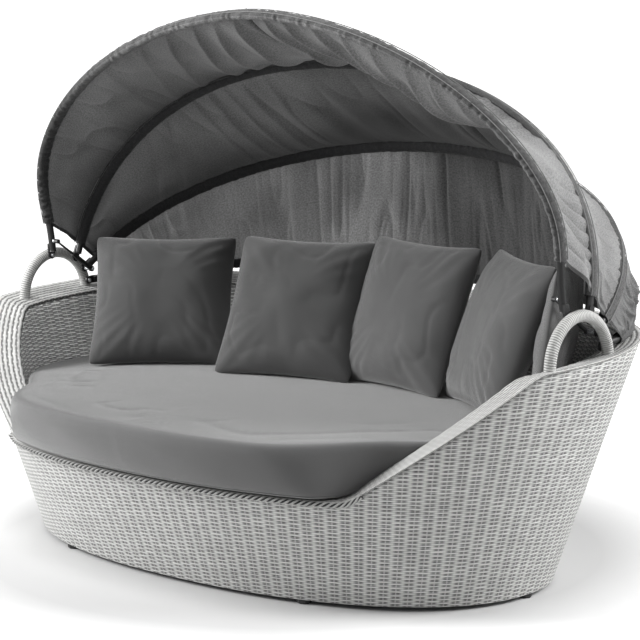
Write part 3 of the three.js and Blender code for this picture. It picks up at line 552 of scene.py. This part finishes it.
# Bright zinc plate: a mirror-like metal, slightly streaked
bright_zinc, tree = material("bright_zinc")
grain = node(tree, "TexNoise", {"Scale": 700.0})
rough = node(tree, "MapRange", grain, 0.0, 1.0, 0.18, 0.34)
skin = node(tree, "BsdfPrincipled", {"Base Color": linear("#d4d6d8"), "Metallic": 1.0, "Roughness": rough})
node(tree, "OutputMaterial", skin)
for name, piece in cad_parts.items():
    if name.startswith(("pivot_bolt", "ball_stud")):
        cad_paint(piece, bright_zinc)
    if name.startswith("strut"):
        cad_paint(piece, black_powder_coat)


# Canopy cloth: three panels of thin woven polyester, cut wider than the gap and sewn
# between the bows, so that they hang inwards in folds. The cloth is paler outside than
# in, where only the light that comes through it shows.

CLOTH_THREAD = 0.0011
MOTTLES_PER_METRE, PATCHES_PER_METRE = 190.0, 6.0
SEWN_IN = 0.005
CLOTH_LIFT = 0.0085
HEM_WIDTH = 0.011
PINCH_AT = 0.509
SEWING_ALLOWANCE = 1.02


def cloth_turns(index, count):
    """Turns that a bow's cloth spans. The front hem sits higher on the right, as photographed."""
    height, power, cloth_rise = BOWS[index][2], BOWS[index][3], BOWS[index][5]
    right, left = ((0.038, -0.006), (-0.006, -0.022), (0, 0), (0, 0))[index]
    first = math.asin(((cloth_rise + right) / height) ** (power / 2))
    last = math.pi - math.asin(((cloth_rise + left) / height) ** (power / 2))
    return np.linspace(first, last, count)


def cloud(seed, y, x):
    """Smooth random numbers from -1 to 1 at places y, x, which start at 0."""
    y, x = np.broadcast_arrays(np.asarray(y, float), np.asarray(x, float))
    knots = np.random.default_rng(seed).uniform(-1, 1, (int(y.max()) + 2, int(x.max()) + 2))
    i, j = y.astype(int), x.astype(int)
    down = (1 - np.cos((y - i) * math.pi)) / 2
    over = (1 - np.cos((x - j) * math.pi)) / 2
    top = knots[i, j] * (1 - over) + knots[i, j + 1] * over
    low = knots[i + 1, j] * (1 - over) + knots[i + 1, j + 1] * over
    return top * (1 - down) + low * down


def threads(tree, split, spacing):
    """The height of a plain weave with its threads this far apart."""
    waves = []
    for way in (0, 1):
        turn = node(tree, "Math", split.outputs[way], 2 * math.pi / spacing, operation="MULTIPLY")
        waves.append(node(tree, "Math", turn, operation="SINE"))
    return node(tree, "Math", waves[0], waves[1], operation="MULTIPLY")


def cloth_material(name, outside, inside, hem, through=0.3, both=False):
    """Woven polyester: matt, mottled, and glowing where light is behind it.

    The mottle is 5 mm wide, coarser than the real one, so that it shows. Where the hem
    value is 1 the cloth is bound, and a second point value darkens the lining with
    painted shade, on both sides of a cloth that is lined on both.
    """
    made, tree = material(name)
    uv = node(tree, "UVMap", uv_map="UVMap")
    back = node(tree, "NewGeometry").outputs["Backfacing"]
    bound = node(tree, "Attribute", attribute_name="hem").outputs["Fac"]
    painted_shade = node(tree, "Attribute", attribute_name="painted_shade").outputs["Fac"]
    weave = threads(tree, node(tree, "SeparateXYZ", uv), CLOTH_THREAD)
    uneven = {"Scale": MOTTLES_PER_METRE, "Detail": 4.0, "Roughness": 0.8}
    mottle = node(tree, "TexNoise", {"Vector": uv, **uneven})
    broad = node(tree, "TexNoise", {"Vector": uv, "Scale": PATCHES_PER_METRE, "Detail": 2.0})
    tone = node(tree, "MapRange", mottle, 0.38, 0.62, 0.64, 1.36)
    wide_tone = node(tree, "MapRange", broad, 0.3, 0.7, 0.82, 1.18)
    tone = node(tree, "Math", tone, wide_tone, operation="MULTIPLY")
    # Painted shade: the point value darkens the lining colour
    lit = node(tree, "Math", 1.0, painted_shade, operation="SUBTRACT")
    lining = node(tree, "VectorMath", {0: linear(inside)[:3], 3: lit}, operation="SCALE")
    face = lining if both else linear(outside)
    base = node(tree, "Mix", {0: back, 6: face, 7: lining}, data_type="RGBA").outputs[2]
    base = node(tree, "Mix", {0: bound, 6: base, 7: linear(hem)}, data_type="RGBA").outputs[2]
    colour = node(tree, "VectorMath", {0: base, 3: tone}, operation="SCALE")
    height = node(tree, "Math", weave, mottle, operation="ADD")
    relief = node(tree, "Bump", {"Strength": 0.3, "Distance": 0.0005, "Height": height})
    matt = {"Base Color": colour, "Roughness": 0.85, "Sheen Weight": 0.1, "Normal": relief}
    skin = node(tree, "BsdfPrincipled", matt)
    glow = node(tree, "BsdfTranslucent", {"Color": colour, "Normal": relief})
    free = node(tree, "Math", 1.0, bound, operation="SUBTRACT")
    share = node(tree, "Math", free, through, operation="MULTIPLY")
    mixed = node(tree, "MixShader", share, skin, glow)
    node(tree, "OutputMaterial", mixed)
    return made


def point_value(piece, name, values):
    made = piece.data.attributes.new(name, "FLOAT", "POINT")
    made.data.foreach_set("value", np.asarray(values, float).ravel())


def panel(name, front, columns, rows, shape, painted_shade):
    """Cloth from one bow to the next. shape gives its outward lift for shares along and across."""
    a = bow_frame(front, cloth_turns(front, columns))[0]
    b = bow_frame(front + 1, cloth_turns(front + 1, columns))[0]
    across = b - a
    width = np.linalg.norm(across, axis=1)
    lifts = []
    for bow in (a, b):
        out = np.cross(across, np.gradient(bow, axis=0))
        lifts.append(out / np.linalg.norm(out, axis=1)[:, None])
    s = np.linspace(0, 1, rows)[:, None]
    t = np.linspace(0, 1, columns)[None, :]
    edge = np.minimum(SEWN_IN / width, 0.2)[None, :]
    at = (edge + (1 - 2 * edge) * s)[..., None]
    out = lifts[0][None] * (1 - at) + lifts[1][None] * at
    points = a[None] + across[None] * at + out * shape(s, t)[..., None]
    step = np.linalg.norm(np.diff(points[rows // 2], axis=0), axis=1)
    along = np.concatenate([[0], np.cumsum(step)])
    uv = np.stack(np.meshgrid(s[:, 0] * width.max(), along, indexing="ij"), -1)[..., ::-1]
    faces = [f[::-1] for f in grid_faces(rows, columns)]
    made = mesh(name, points.reshape(-1, 3), faces, uv.reshape(-1, 2))
    bound = np.minimum(along, along[-1] - along) < HEM_WIDTH
    point_value(made, "hem", np.broadcast_to(bound, (rows, columns)))
    # Painted shade on the lining, from the panel's own shade function
    point_value(made, "painted_shade", painted_shade(s, t) + 0 * s * t)
    area = sum(p.area for p in made.data.polygons)
    return made, along[-1], width.max(), area


def folds(s, t, lines):
    """Folds that hang inwards across a panel: start and end along it, width and depth."""
    lift = 0
    for start, end, wide, deep in lines:
        off = (t - start - (end - start) * s) / wide
        off = np.where(off > 0, off * 0.5, off * 1.5)
        lift = lift - deep * np.exp(-np.abs(off) ** 1.15) * (1 - np.abs(2 * s - 1) ** 5)
    return lift


def gathers(seed, s, t, count, wander, sharp):
    """Narrow gathers that run from bow to bow and stand out from the cloth."""
    lines = cloud(seed, wander * s, count * t)
    return (1 - np.abs(lines)) ** sharp * (0.55 + 0.45 * cloud(seed + 1, 2 * s, 9 * t))


def puckers(seed, s, t, reach):
    """Puckers at the stitching that die out from both seams."""
    return cloud(seed, 4 * s, 170 * t) * (np.exp(-s / reach) + np.exp(-(1 - s) / reach))


def blend_share(value, low, high):
    share = np.clip((value - low) / (high - low), 0, 1)
    return share ** 2 * (3 - 2 * share)


# Front panel: it hangs deepest on the right, in long slanting folds, with one pinch at the hem

def front_shape(s, t):
    swell = 4 * s * (1 - s)
    hang = 0.027 * np.exp(-((t - 0.5) / 0.26) ** 2) + 0.056 * np.exp(-((t - 0.3) / 0.085) ** 2)
    waves = 0.010 * cloud(3, 2 * s, 13 * t) + 0.006 * cloud(4, 3 * s, 34 * t)
    waves = waves + 0.012 * gathers(5, s, t, 30, 1.2, 6)
    pinch = 0.022 * np.exp(-((t - PINCH_AT) / 0.0024) ** 2) * np.clip(1 - s / 0.4, 0, 1) ** 0.5
    lift = CLOTH_LIFT + swell * (waves - hang) + 0.0022 * puckers(7, s, t, 0.12)
    return lift + pinch * np.clip(s / 0.03, 0, 1) + folds(s, t, (
        (0.150, 0.130, 0.005, 0.014), (0.125, 0.100, 0.005, 0.015), (0.100, 0.077, 0.005, 0.014),
        (0.082, 0.055, 0.005, 0.013), (0.058, 0.038, 0.004, 0.011), (0.034, 0.016, 0.004, 0.009),
        (0.250, 0.230, 0.009, 0.014), (0.280, 0.250, 0.009, 0.016), (0.310, 0.275, 0.010, 0.020),
        (0.350, 0.330, 0.010, 0.024), (0.385, 0.365, 0.009, 0.022), (0.420, 0.395, 0.010, 0.026),
        (0.455, 0.445, 0.009, 0.026), (0.480, 0.490, 0.008, 0.024), (0.525, 0.545, 0.008, 0.026),
        (0.552, 0.595, 0.008, 0.024), (0.580, 0.625, 0.008, 0.024), (0.617, 0.680, 0.009, 0.024),
        (0.657, 0.725, 0.010, 0.015), (0.720, 0.760, 0.012, 0.010), (0.800, 0.830, 0.012, 0.008),
    ))


def front_painted_shade(s, t):
    """Painted shade on the lining, deeper towards the second bow on the left, and down the pinch."""
    pinch = 0.85 * np.exp(-((t - PINCH_AT) / 0.0022) ** 2) * blend_share(s, 0.42, 0.3)
    return np.maximum(pinch, 0.74 * s ** 1.6 * blend_share(t, 0.5, 0.68))


# Middle panel: a shallower hang, with a bundle of folds on the left

def middle_shape(s, t):
    swell = 4 * s * (1 - s)
    hang = 0.034 * np.exp(-((t - 0.45) / 0.32) ** 2)
    waves = 0.009 * cloud(13, 2 * s, 13 * t) + 0.006 * cloud(14, 2 * s, 44 * t)
    waves = waves + 0.012 * gathers(15, s, t, 40, 1.5, 5)
    lift = CLOTH_LIFT + swell * (waves - hang) + 0.0020 * puckers(17, s, t, 0.1)
    return lift + folds(s, t, (
        (0.640, 0.650, 0.007, 0.010), (0.665, 0.675, 0.007, 0.012), (0.690, 0.700, 0.007, 0.012),
        (0.715, 0.725, 0.007, 0.010), (0.760, 0.830, 0.008, 0.010), (0.800, 0.870, 0.007, 0.010),
        (0.610, 0.620, 0.008, 0.008), (0.120, 0.170, 0.007, 0.008), (0.060, 0.090, 0.006, 0.008),
    ))


def middle_painted_shade(s, t):
    """Painted shade on the lining towards the third bow, and all over the right half."""
    return np.clip(0.62 * blend_share(s, 0.15, 0.95) + 0.4 * blend_share(t, 0.66, 0.5), 0, 0.72)


# Rear panel: it falls nearly upright and is gathered all along like a curtain

def rear_shape(s, t):
    hang = np.clip(np.sin(math.pi * np.clip(s, 0, 1) ** 0.8), 0, 1) ** 0.5
    waves = 0.009 * cloud(23, 0.6 * s, 40 * t) + 0.004 * cloud(24, 1.5 * s, 110 * t)
    pleats = 0.020 * gathers(25, s, t, 62, 0.9, 6) + 0.008 * gathers(28, s, t, 130, 0.7, 4)
    return CLOTH_LIFT + (waves + pleats) * hang + 0.0020 * puckers(27, s, t, 0.08)


def rear_painted_shade(s, t):
    """Painted shade on the lining on the right, and in a strip under the third bow."""
    return 0.7 * blend_share(t, 0.6, 0.46) + 0.2 * np.exp(-s / 0.08)


canopy_cloth = cloth_material("canopy_polyester", "#989898", "#666666", "#3a3a3a")
# The rear panel is the same cloth, with its lining painted paler as painted light
rear_lit_cloth = cloth_material("canopy_rear_polyester", "#989898", "#868686", "#3a3a3a", through=0.45)
for index, (word, cloth, shape, painted_shade, columns, rows, keep) in enumerate((
    ("front", canopy_cloth, front_shape, front_painted_shade, 760, 72, 0.2),
    ("middle", canopy_cloth, middle_shape, middle_painted_shade, 640, 64, 0.14),
    ("rear", rear_lit_cloth, rear_shape, rear_painted_shade, 760, 56, 0.17),
)):
    piece, length, width, area = panel(f"canopy_{word}_cloth", index, columns, rows, shape, painted_shade)
    body = BOWS[index][6]
    fit(piece, cloth, body, f"canopy_{word}")
    flat_length = length * max(1.0, area / (length * width)) * SEWING_ALLOWANCE
    min(area, flat_length * width)
    pivot, up, rear = bow_plane(index)
    tuple(rear)
    tuple(pivot)
    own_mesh(piece)


# Sleeves: bands of the same cloth sewn round the bows. Outside they show as a narrow
# grey strip between two pale seams, and inside as a wide dark one. The front hem is
# gathered on its bow.

SLEEVE_OUT, SLEEVE_ROUND = 0.0126, 0.013
SEAM_RADIUS = 0.0011

band_outside = cloth_material("band_polyester", "#545454", "#545454", "#303030", through=0.0)
band_inside = cloth_material("band_lining", "#2b2b2c", "#2b2b2c", "#202020", through=0.0)
# The front hem's cloth takes its painted shade on both sides
hem_inside = cloth_material("hem_lining", "#767676", "#767676", "#303030", through=0.0, both=True)
# Folded seam of the same cloth: matt, and paler as its round edge catches the light
seam_piping, tree = material("seam_piping")
_, colour = two_tones(tree, 300.0, "#707070", "#909090")
skin = node(tree, "BsdfPrincipled", {"Base Color": colour, "Roughness": 0.8})
node(tree, "OutputMaterial", skin)
for index, (lining, wide, taper, ripple, seams_at) in enumerate((
    (hem_inside, 0.0165, 0.0, 0.0030, ((0.0128, 0.0112), (-0.0128, 0.0090))),
    (band_inside, 0.0160, 0.1, 0.0012, ((0.0120, 0.0116), (-0.0120, 0.0116))),
    (band_inside, 0.0160, 0.1, 0.0016, ((0.0120, 0.0116), (-0.0120, 0.0116))),
    (band_inside, 0.0135, 0.0, 0.0008, ()),
)):
    columns, sides = 900, 22
    body = BOWS[index][6]
    place, outward, rear = bow_frame(index, cloth_turns(index, columns))
    around = np.linspace(0, 2 * math.pi, sides + 1)
    share = np.linspace(0, 1, columns)[:, None]
    rough = ripple * cloud(31 + index, 290 * share, 3 + 2 * np.cos(around)[None, :])
    half = wide * (1 - taper * np.sin(around))[None, :] + rough
    rear_part = (half * np.cos(around))[..., None] * rear
    out_part = ((SLEEVE_OUT + rough * 0.6) * np.sin(around))[..., None] * outward[:, None]
    points = place[:, None] + rear_part + out_part
    along = np.concatenate([[0], np.cumsum(np.linalg.norm(np.diff(place, axis=0), axis=1))])
    uv = np.stack(np.meshgrid(along, around * SLEEVE_ROUND, indexing="ij"), -1)
    faces = grid_faces(columns, sides + 1)
    band = mesh(f"sleeve_{index + 1}_cloth", points.reshape(-1, 3), faces, uv.reshape(-1, 2))
    # Painted shade on the front hem: deep at its left end, fainter on its right part
    shaded = 0.84 * blend_share(share, 0.66, 0.84) + 0.3 * blend_share(share, 0.42, 0.3)
    point_value(band, "painted_shade", (shaded if index == 0 else 0 * share) + 0 * around[None, :])
    fit(band, lining, body, f"sleeve_{index + 1}")
    band.data.materials.append(band_outside)
    upper = (np.arange(sides) < sides // 2).astype(int)
    band.data.polygons.foreach_set("material_index", np.tile(upper, columns - 1))
    for number, (back_by, out_by) in enumerate(seams_at):
        line = place + back_by * rear + out_by * outward
        seam = tube(f"sleeve_{index + 1}_seam_{number + 1}", line, SEAM_RADIUS, 6, rear)
        fit(seam, seam_piping, body)


# Seat mattress: one oval foam pad in a woven cover, with a piped seam low on its side.
# It fills the tub inside the arms, lies over the front rim, and is pressed up where the
# arms start.

PAD_LOW, PAD_TOP, PAD_CROWN = 0.2825, 0.4125, 0.012
PAD_OVER_RIM, PAD_TURNED_IN = 0.026, 0.1202
PAD_STEPS = 480
SEAT_THREAD = 0.0014
NAPS_PER_METRE, DENTS_PER_METRE = 500.0, 9.0
PIPING_RADIUS = 0.0016


def upholstery(name, tone_code):
    """Woven polyester with a soft nap: matt, even, and paler at its edges.

    Its fine mottle is 2 mm wide and the broad one 11 cm.
    """
    made, tree = material(name)
    uv = node(tree, "UVMap", uv_map="UVMap")
    weave = threads(tree, node(tree, "SeparateXYZ", uv), SEAT_THREAD)
    fine = node(tree, "TexNoise", {"Vector": uv, "Scale": NAPS_PER_METRE, "Detail": 3.0})
    broad = node(tree, "TexNoise", {"Vector": uv, "Scale": DENTS_PER_METRE, "Detail": 3.0})
    tone = node(tree, "MapRange", fine, 0.3, 0.7, 0.94, 1.06)
    wide_tone = node(tree, "MapRange", broad, 0.3, 0.7, 0.95, 1.05)
    tone = node(tree, "Math", tone, wide_tone, operation="MULTIPLY")
    colour = node(tree, "VectorMath", {0: linear(tone_code)[:3], 3: tone}, operation="SCALE")
    height = node(tree, "Math", weave, fine, operation="ADD")
    relief = node(tree, "Bump", {"Strength": 0.3, "Distance": 0.0006, "Height": height})
    nap = {"Roughness": 0.9, "Sheen Weight": 0.75, "Sheen Roughness": 0.4}
    skin = node(tree, "BsdfPrincipled", {"Base Color": colour, "Normal": relief, **nap})
    node(tree, "OutputMaterial", skin)
    return made


def pad_edge(turn, up_share, inset):
    """The pad's edge at a share of its height, over the front rim and then inside the arms."""
    away = from_front(turn)
    low = PAD_LOW + (rim_height(turn) - FRONT_RIM) * (1 - blend_share(away, 32, 49))
    height = low + up_share * (PAD_TOP - low)
    turned_in = blend_share(away, 32 - 10 * up_share, 49 + 2 * up_share)
    return tub_point(turn, height, PAD_TURNED_IN * turned_in - PAD_OVER_RIM + inset)


def slack(seed, y, swings):
    """Unevenness of the cover round the pad, which closes on itself."""
    return cloud(seed, y, swings * (np.arange(PAD_STEPS + 1) % PAD_STEPS) / PAD_STEPS)


seat_polyester = upholstery("seat_polyester", "#646464")
turn = np.linspace(0, 2 * math.pi, PAD_STEPS + 1) - math.pi / 2
steps = np.linalg.norm(np.diff(pad_edge(turn, 0.9, 0.0), axis=0), axis=1)
along = np.concatenate([[0], np.cumsum(steps)])
side_profile = ((0.0, 0.2), (0.0, 0.016), (0.02, 0.009), (0.06, 0.004), (0.15, -0.001), (0.3, -0.005),
                (0.5, -0.0072), (0.68, -0.006), (0.82, -0.003), (0.91, 0.002), (0.955, 0.006),
                (0.985, 0.0115), (1.0, 0.019))
points, uv = [], []
for up_share, inset in side_profile:
    soft = 0.0025 * slack(41, 3 * up_share, 46) * math.sin(math.pi * up_share)
    points.append(pad_edge(turn, up_share, inset + soft))
    uv.append(np.stack([along, np.full(len(turn), up_share * (PAD_TOP - PAD_LOW))], -1))
top_edge = points[-1]
for share in np.concatenate([np.linspace(0.015, 0.3, 20), np.linspace(0.34, 0.999, 14)]):
    ring = top_edge * (1 - share) + np.array([0, TUB_Y, 0]) * share
    dips = 0.0018 * slack(42, 5 * share, 22) * (1 - share)
    wrinkles = 0.0035 * (1 - np.abs(slack(43, 9 * share, 34))) ** 6 * np.exp(-((share - 0.16) / 0.12) ** 2)
    ring[:, 2] = PAD_TOP + PAD_CROWN * (1 - (1 - share) ** 2.4) + dips - wrinkles
    points.append(ring)
    uv.append(ring[:, :2] + 5)
pad = mesh("mattress_cover", np.concatenate(points), grid_faces(len(points), len(turn)), np.concatenate(uv))
fit(pad, seat_polyester, "tub", "mattress")
line = pad_edge(turn[:-1], 0.05, 0.0048)
points, faces, uv = sweep(np.concatenate([line, line[:1]]), PIPING_RADIUS, 8, [0, 0, 1])
piping = mesh("mattress_seam", points, faces, uv)
fit(piping, seat_polyester, "tub")


# Scatter pillows: five square covers of the mattress's cloth over loose filling, plump in
# the middle and thin at the seam, with pointed corners and folds that run in from them.
# They stand on the mattress and lean against the back.

PILLOW_HALF, PILLOW_THICKNESS = 0.2, 0.132
SIDE_PULL, CORNER_SOFT = 0.011, 0.005
# Each pillow's place in shares of the floor's half sizes, its turn and lean in degrees,
# how thick and how large it is, and its tone: the mattress's cloth painted darker as shade,
# least on the pillows that the light reaches
PILLOWS = (
    (-0.648, 0.065, 40, 34, 1.0, 0.985, "#4a4a4a"),
    (-0.138, 0.2, 17, 29, 1.0, 1.0, "#494949"),
    (0.25, 0.375, -8, 22, 1.0, 1.0, "#595959"),
    (0.69, 0.207, -32, 21, 1.0, 1.0, "#5a5a5a"),
    (0.926, 0.33, -61.5, 8.3, 0.55, 1.0, "#626262"),
)


def pillow_faces(seed, thick, size, cells=72):
    """Points of a pillow's front and back, each a square grid."""
    side = np.sin(np.linspace(-1, 1, cells + 1) * math.pi / 2)
    v, u = np.meshgrid(side, side, indexing="ij")
    soft = CORNER_SOFT * np.abs(u * v) ** 12
    half = PILLOW_HALF * size
    x = u * (half - SIDE_PULL * (1 - v ** 2) * (1 - v ** 6) - soft)
    z = v * (half - SIDE_PULL * (1 - u ** 2) * (1 - u ** 6) - soft) + half
    swell = ((1 - np.abs(u) ** 3.2) * (1 - np.abs(v) ** 3.2)) ** 0.62
    near = np.maximum(np.abs(u), np.abs(v))
    turn = np.arctan2(np.abs(v), np.abs(u))
    sheets = []
    for k, face in enumerate((-1, 1)):
        rays = np.sin(turn * 26 + 4 * cloud(seed + k, 1 + v, 1 + u))
        crease = rays * np.abs(u * v) ** 1.5 * (1 - near ** 8)
        lumps = 0.008 * cloud(seed + 7 + k, 2 + 2 * v, 2 + 2 * u) * swell
        small = 0.0035 * cloud(seed + 17 + k, 4.5 + 4.5 * v, 4.5 + 4.5 * u) * swell * near
        lines = 1 - np.abs(cloud(seed + 29 + k, 2.6 + 2.6 * v + 0.7 * u, 2.6 + 2.6 * u))
        folds_in = 0.006 * lines ** 7 * swell * near
        depth = 0.0015 + (thick / 2 - 0.002) * swell + 0.008 * crease * swell + lumps + small - folds_in
        sheets.append(np.stack([x, face * np.maximum(depth, 0.001), z], -1))
    return sheets


def pillow_mesh(name, seed, thick, size):
    front, back = pillow_faces(seed, thick, size)
    rows = front.shape[0]
    count = rows * rows
    faces = [f[::-1] for f in grid_faces(rows, rows)]
    faces += [[c + count for c in f] for f in grid_faces(rows, rows)]
    last = rows - 1
    loop = [j for j in range(rows)] + [i * rows + last for i in range(1, rows)]
    loop += [last * rows + j for j in range(rows - 2, -1, -1)] + [i * rows for i in range(rows - 2, 0, -1)]
    for a, b in zip(loop, loop[1:] + loop[:1]):
        faces.append([a, b, b + count, a + count])
    points = np.concatenate([front.reshape(-1, 3), back.reshape(-1, 3)])
    uv = np.concatenate([np.stack([front[..., 0], front[..., 2]], -1).reshape(-1, 2)] * 2)
    return mesh(name, points, faces, uv)


for index, (along, back, yaw, lean, press, size, tone_code) in enumerate(PILLOWS):
    name = f"pillow_{index + 1}"
    cover = pillow_mesh(f"{name}_cover", 50 + 31 * index, PILLOW_THICKNESS * press, size)
    cover.rotation_mode = "XYZ"
    cover.rotation_euler = (-math.radians(lean), 0, math.radians(yaw))
    cover.location = (along * FLOOR_HALF_LENGTH, TUB_Y + back * FLOOR_HALF_DEPTH, 0.3)
    bpy.context.view_layer.update()
    lowest = min((cover.matrix_world @ v.co).z for v in cover.data.vertices)
    cover.location.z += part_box(name)[0][2] - lowest
    bpy.context.view_layer.update()
    cover.data.transform(cover.matrix_world)
    cover.matrix_world.identity()
    # Each pillow's tone is painted shade on the one cloth
    fit(cover, upholstery(f"{name}_polyester", tone_code), "tub", name)


# Studio: a pale matt floor that whitens away from the tub, so that it keeps the shadow and
# meets the white background without an edge.

FLOOR_REACH = 200

pale_floor, tree = material("pale_floor")
_, colour = two_tones(tree, 2.0, "#d2d2d2", "#d8d8d8")
skin = node(tree, "BsdfPrincipled", {"Base Color": colour, "Roughness": 0.9})
seen = node(tree, "LightPath").outputs["Is Camera Ray"]
place = node(tree, "NewGeometry").outputs["Position"]
reach = node(tree, "VectorMath", place, operation="LENGTH").outputs["Value"]
lift = node(tree, "MapRange", reach, 0.8, 1.36, 0.0, 1.0)
lift = node(tree, "Math", lift, seen, operation="MULTIPLY")
glow = node(tree, "Emission", {"Color": (1, 1, 1, 1), "Strength": lift})
both = node(tree, "AddShader", skin, glow)
node(tree, "OutputMaterial", both)
corners = [(x * FLOOR_REACH, y * FLOOR_REACH, 0) for x, y in ((-1, -1), (1, -1), (1, 1), (-1, 1))]
floor = mesh("floor", corners, [(0, 1, 2, 3)], smooth=False)
floor.data.materials.append(pale_floor)
floor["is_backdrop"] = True


# Light: three soft round lamps, at the front left, the back right and above the front,
# and a faint even fill. The camera and glossy faces see plain white around the object.

def soft_lamp(name, place, target, size, power):
    data = bpy.data.lights.new(name, "AREA")
    data.shape = "DISK"
    data.size = size
    data.energy = power
    made = bpy.data.objects.new(name, data)
    made.location = place
    made.rotation_euler = (Vector(target) - Vector(place)).to_track_quat("-Z", "Y").to_euler()
    bpy.context.scene.collection.objects.link(made)
    made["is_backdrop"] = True


soft_lamp("left_light", (-2.9, -2.5, 2.1), (-0.3, 0, 0.5), 2.2, 178)
soft_lamp("right_light", (3.1, 2.0, 2.6), (0.4, 0, 0.6), 2.2, 165)
soft_lamp("top_light", (-0.3, -1.3, 3.9), (0, -0.2, 0.4), 1.6, 70)
world = bpy.data.worlds.new("studio")
bpy.context.scene.world = world
world.use_nodes = True
tree = world.node_tree
tree.nodes.clear()
ray = node(tree, "LightPath").outputs
seen = node(tree, "Math", ray["Is Camera Ray"], ray["Is Glossy Ray"], operation="MAXIMUM")
seen = node(tree, "Math", seen, ray["Is Transmission Ray"], operation="MAXIMUM")
fill = node(tree, "Background", {"Color": (1, 1, 1, 1), "Strength": 0.17})
white = node(tree, "Background", {"Color": (1, 1, 1, 1), "Strength": 1.0})
node(tree, "OutputWorld", node(tree, "MixShader", seen, fill, white))
bpy.context.scene.view_settings.view_transform = "Standard"


# Camera: a long lens from the front right, a little above the mattress, fitted to the
# outlines in the photograph.

azimuth, elevation, distance = math.radians(42.307), math.radians(8.482), 6.377
target = Vector((-0.0189, 0.1197, 0.5807))
level = math.cos(elevation)
back = Vector((math.sin(azimuth) * level, -math.cos(azimuth) * level, math.sin(elevation)))
data = bpy.data.cameras.new("photo_camera")
data.lens = 136.8
data.sensor_width = 36
data.clip_end = 100
camera = bpy.data.objects.new("photo_camera", data)
camera.location = target + back * distance
camera.rotation_euler = (-back).to_track_quat("-Z", "Y").to_euler()
bpy.context.scene.collection.objects.link(camera)
bpy.context.scene.camera = camera
camera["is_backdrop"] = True


both = {"cad": [list(p) for p in cad_bounds], "visual": [list(p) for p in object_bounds()]}
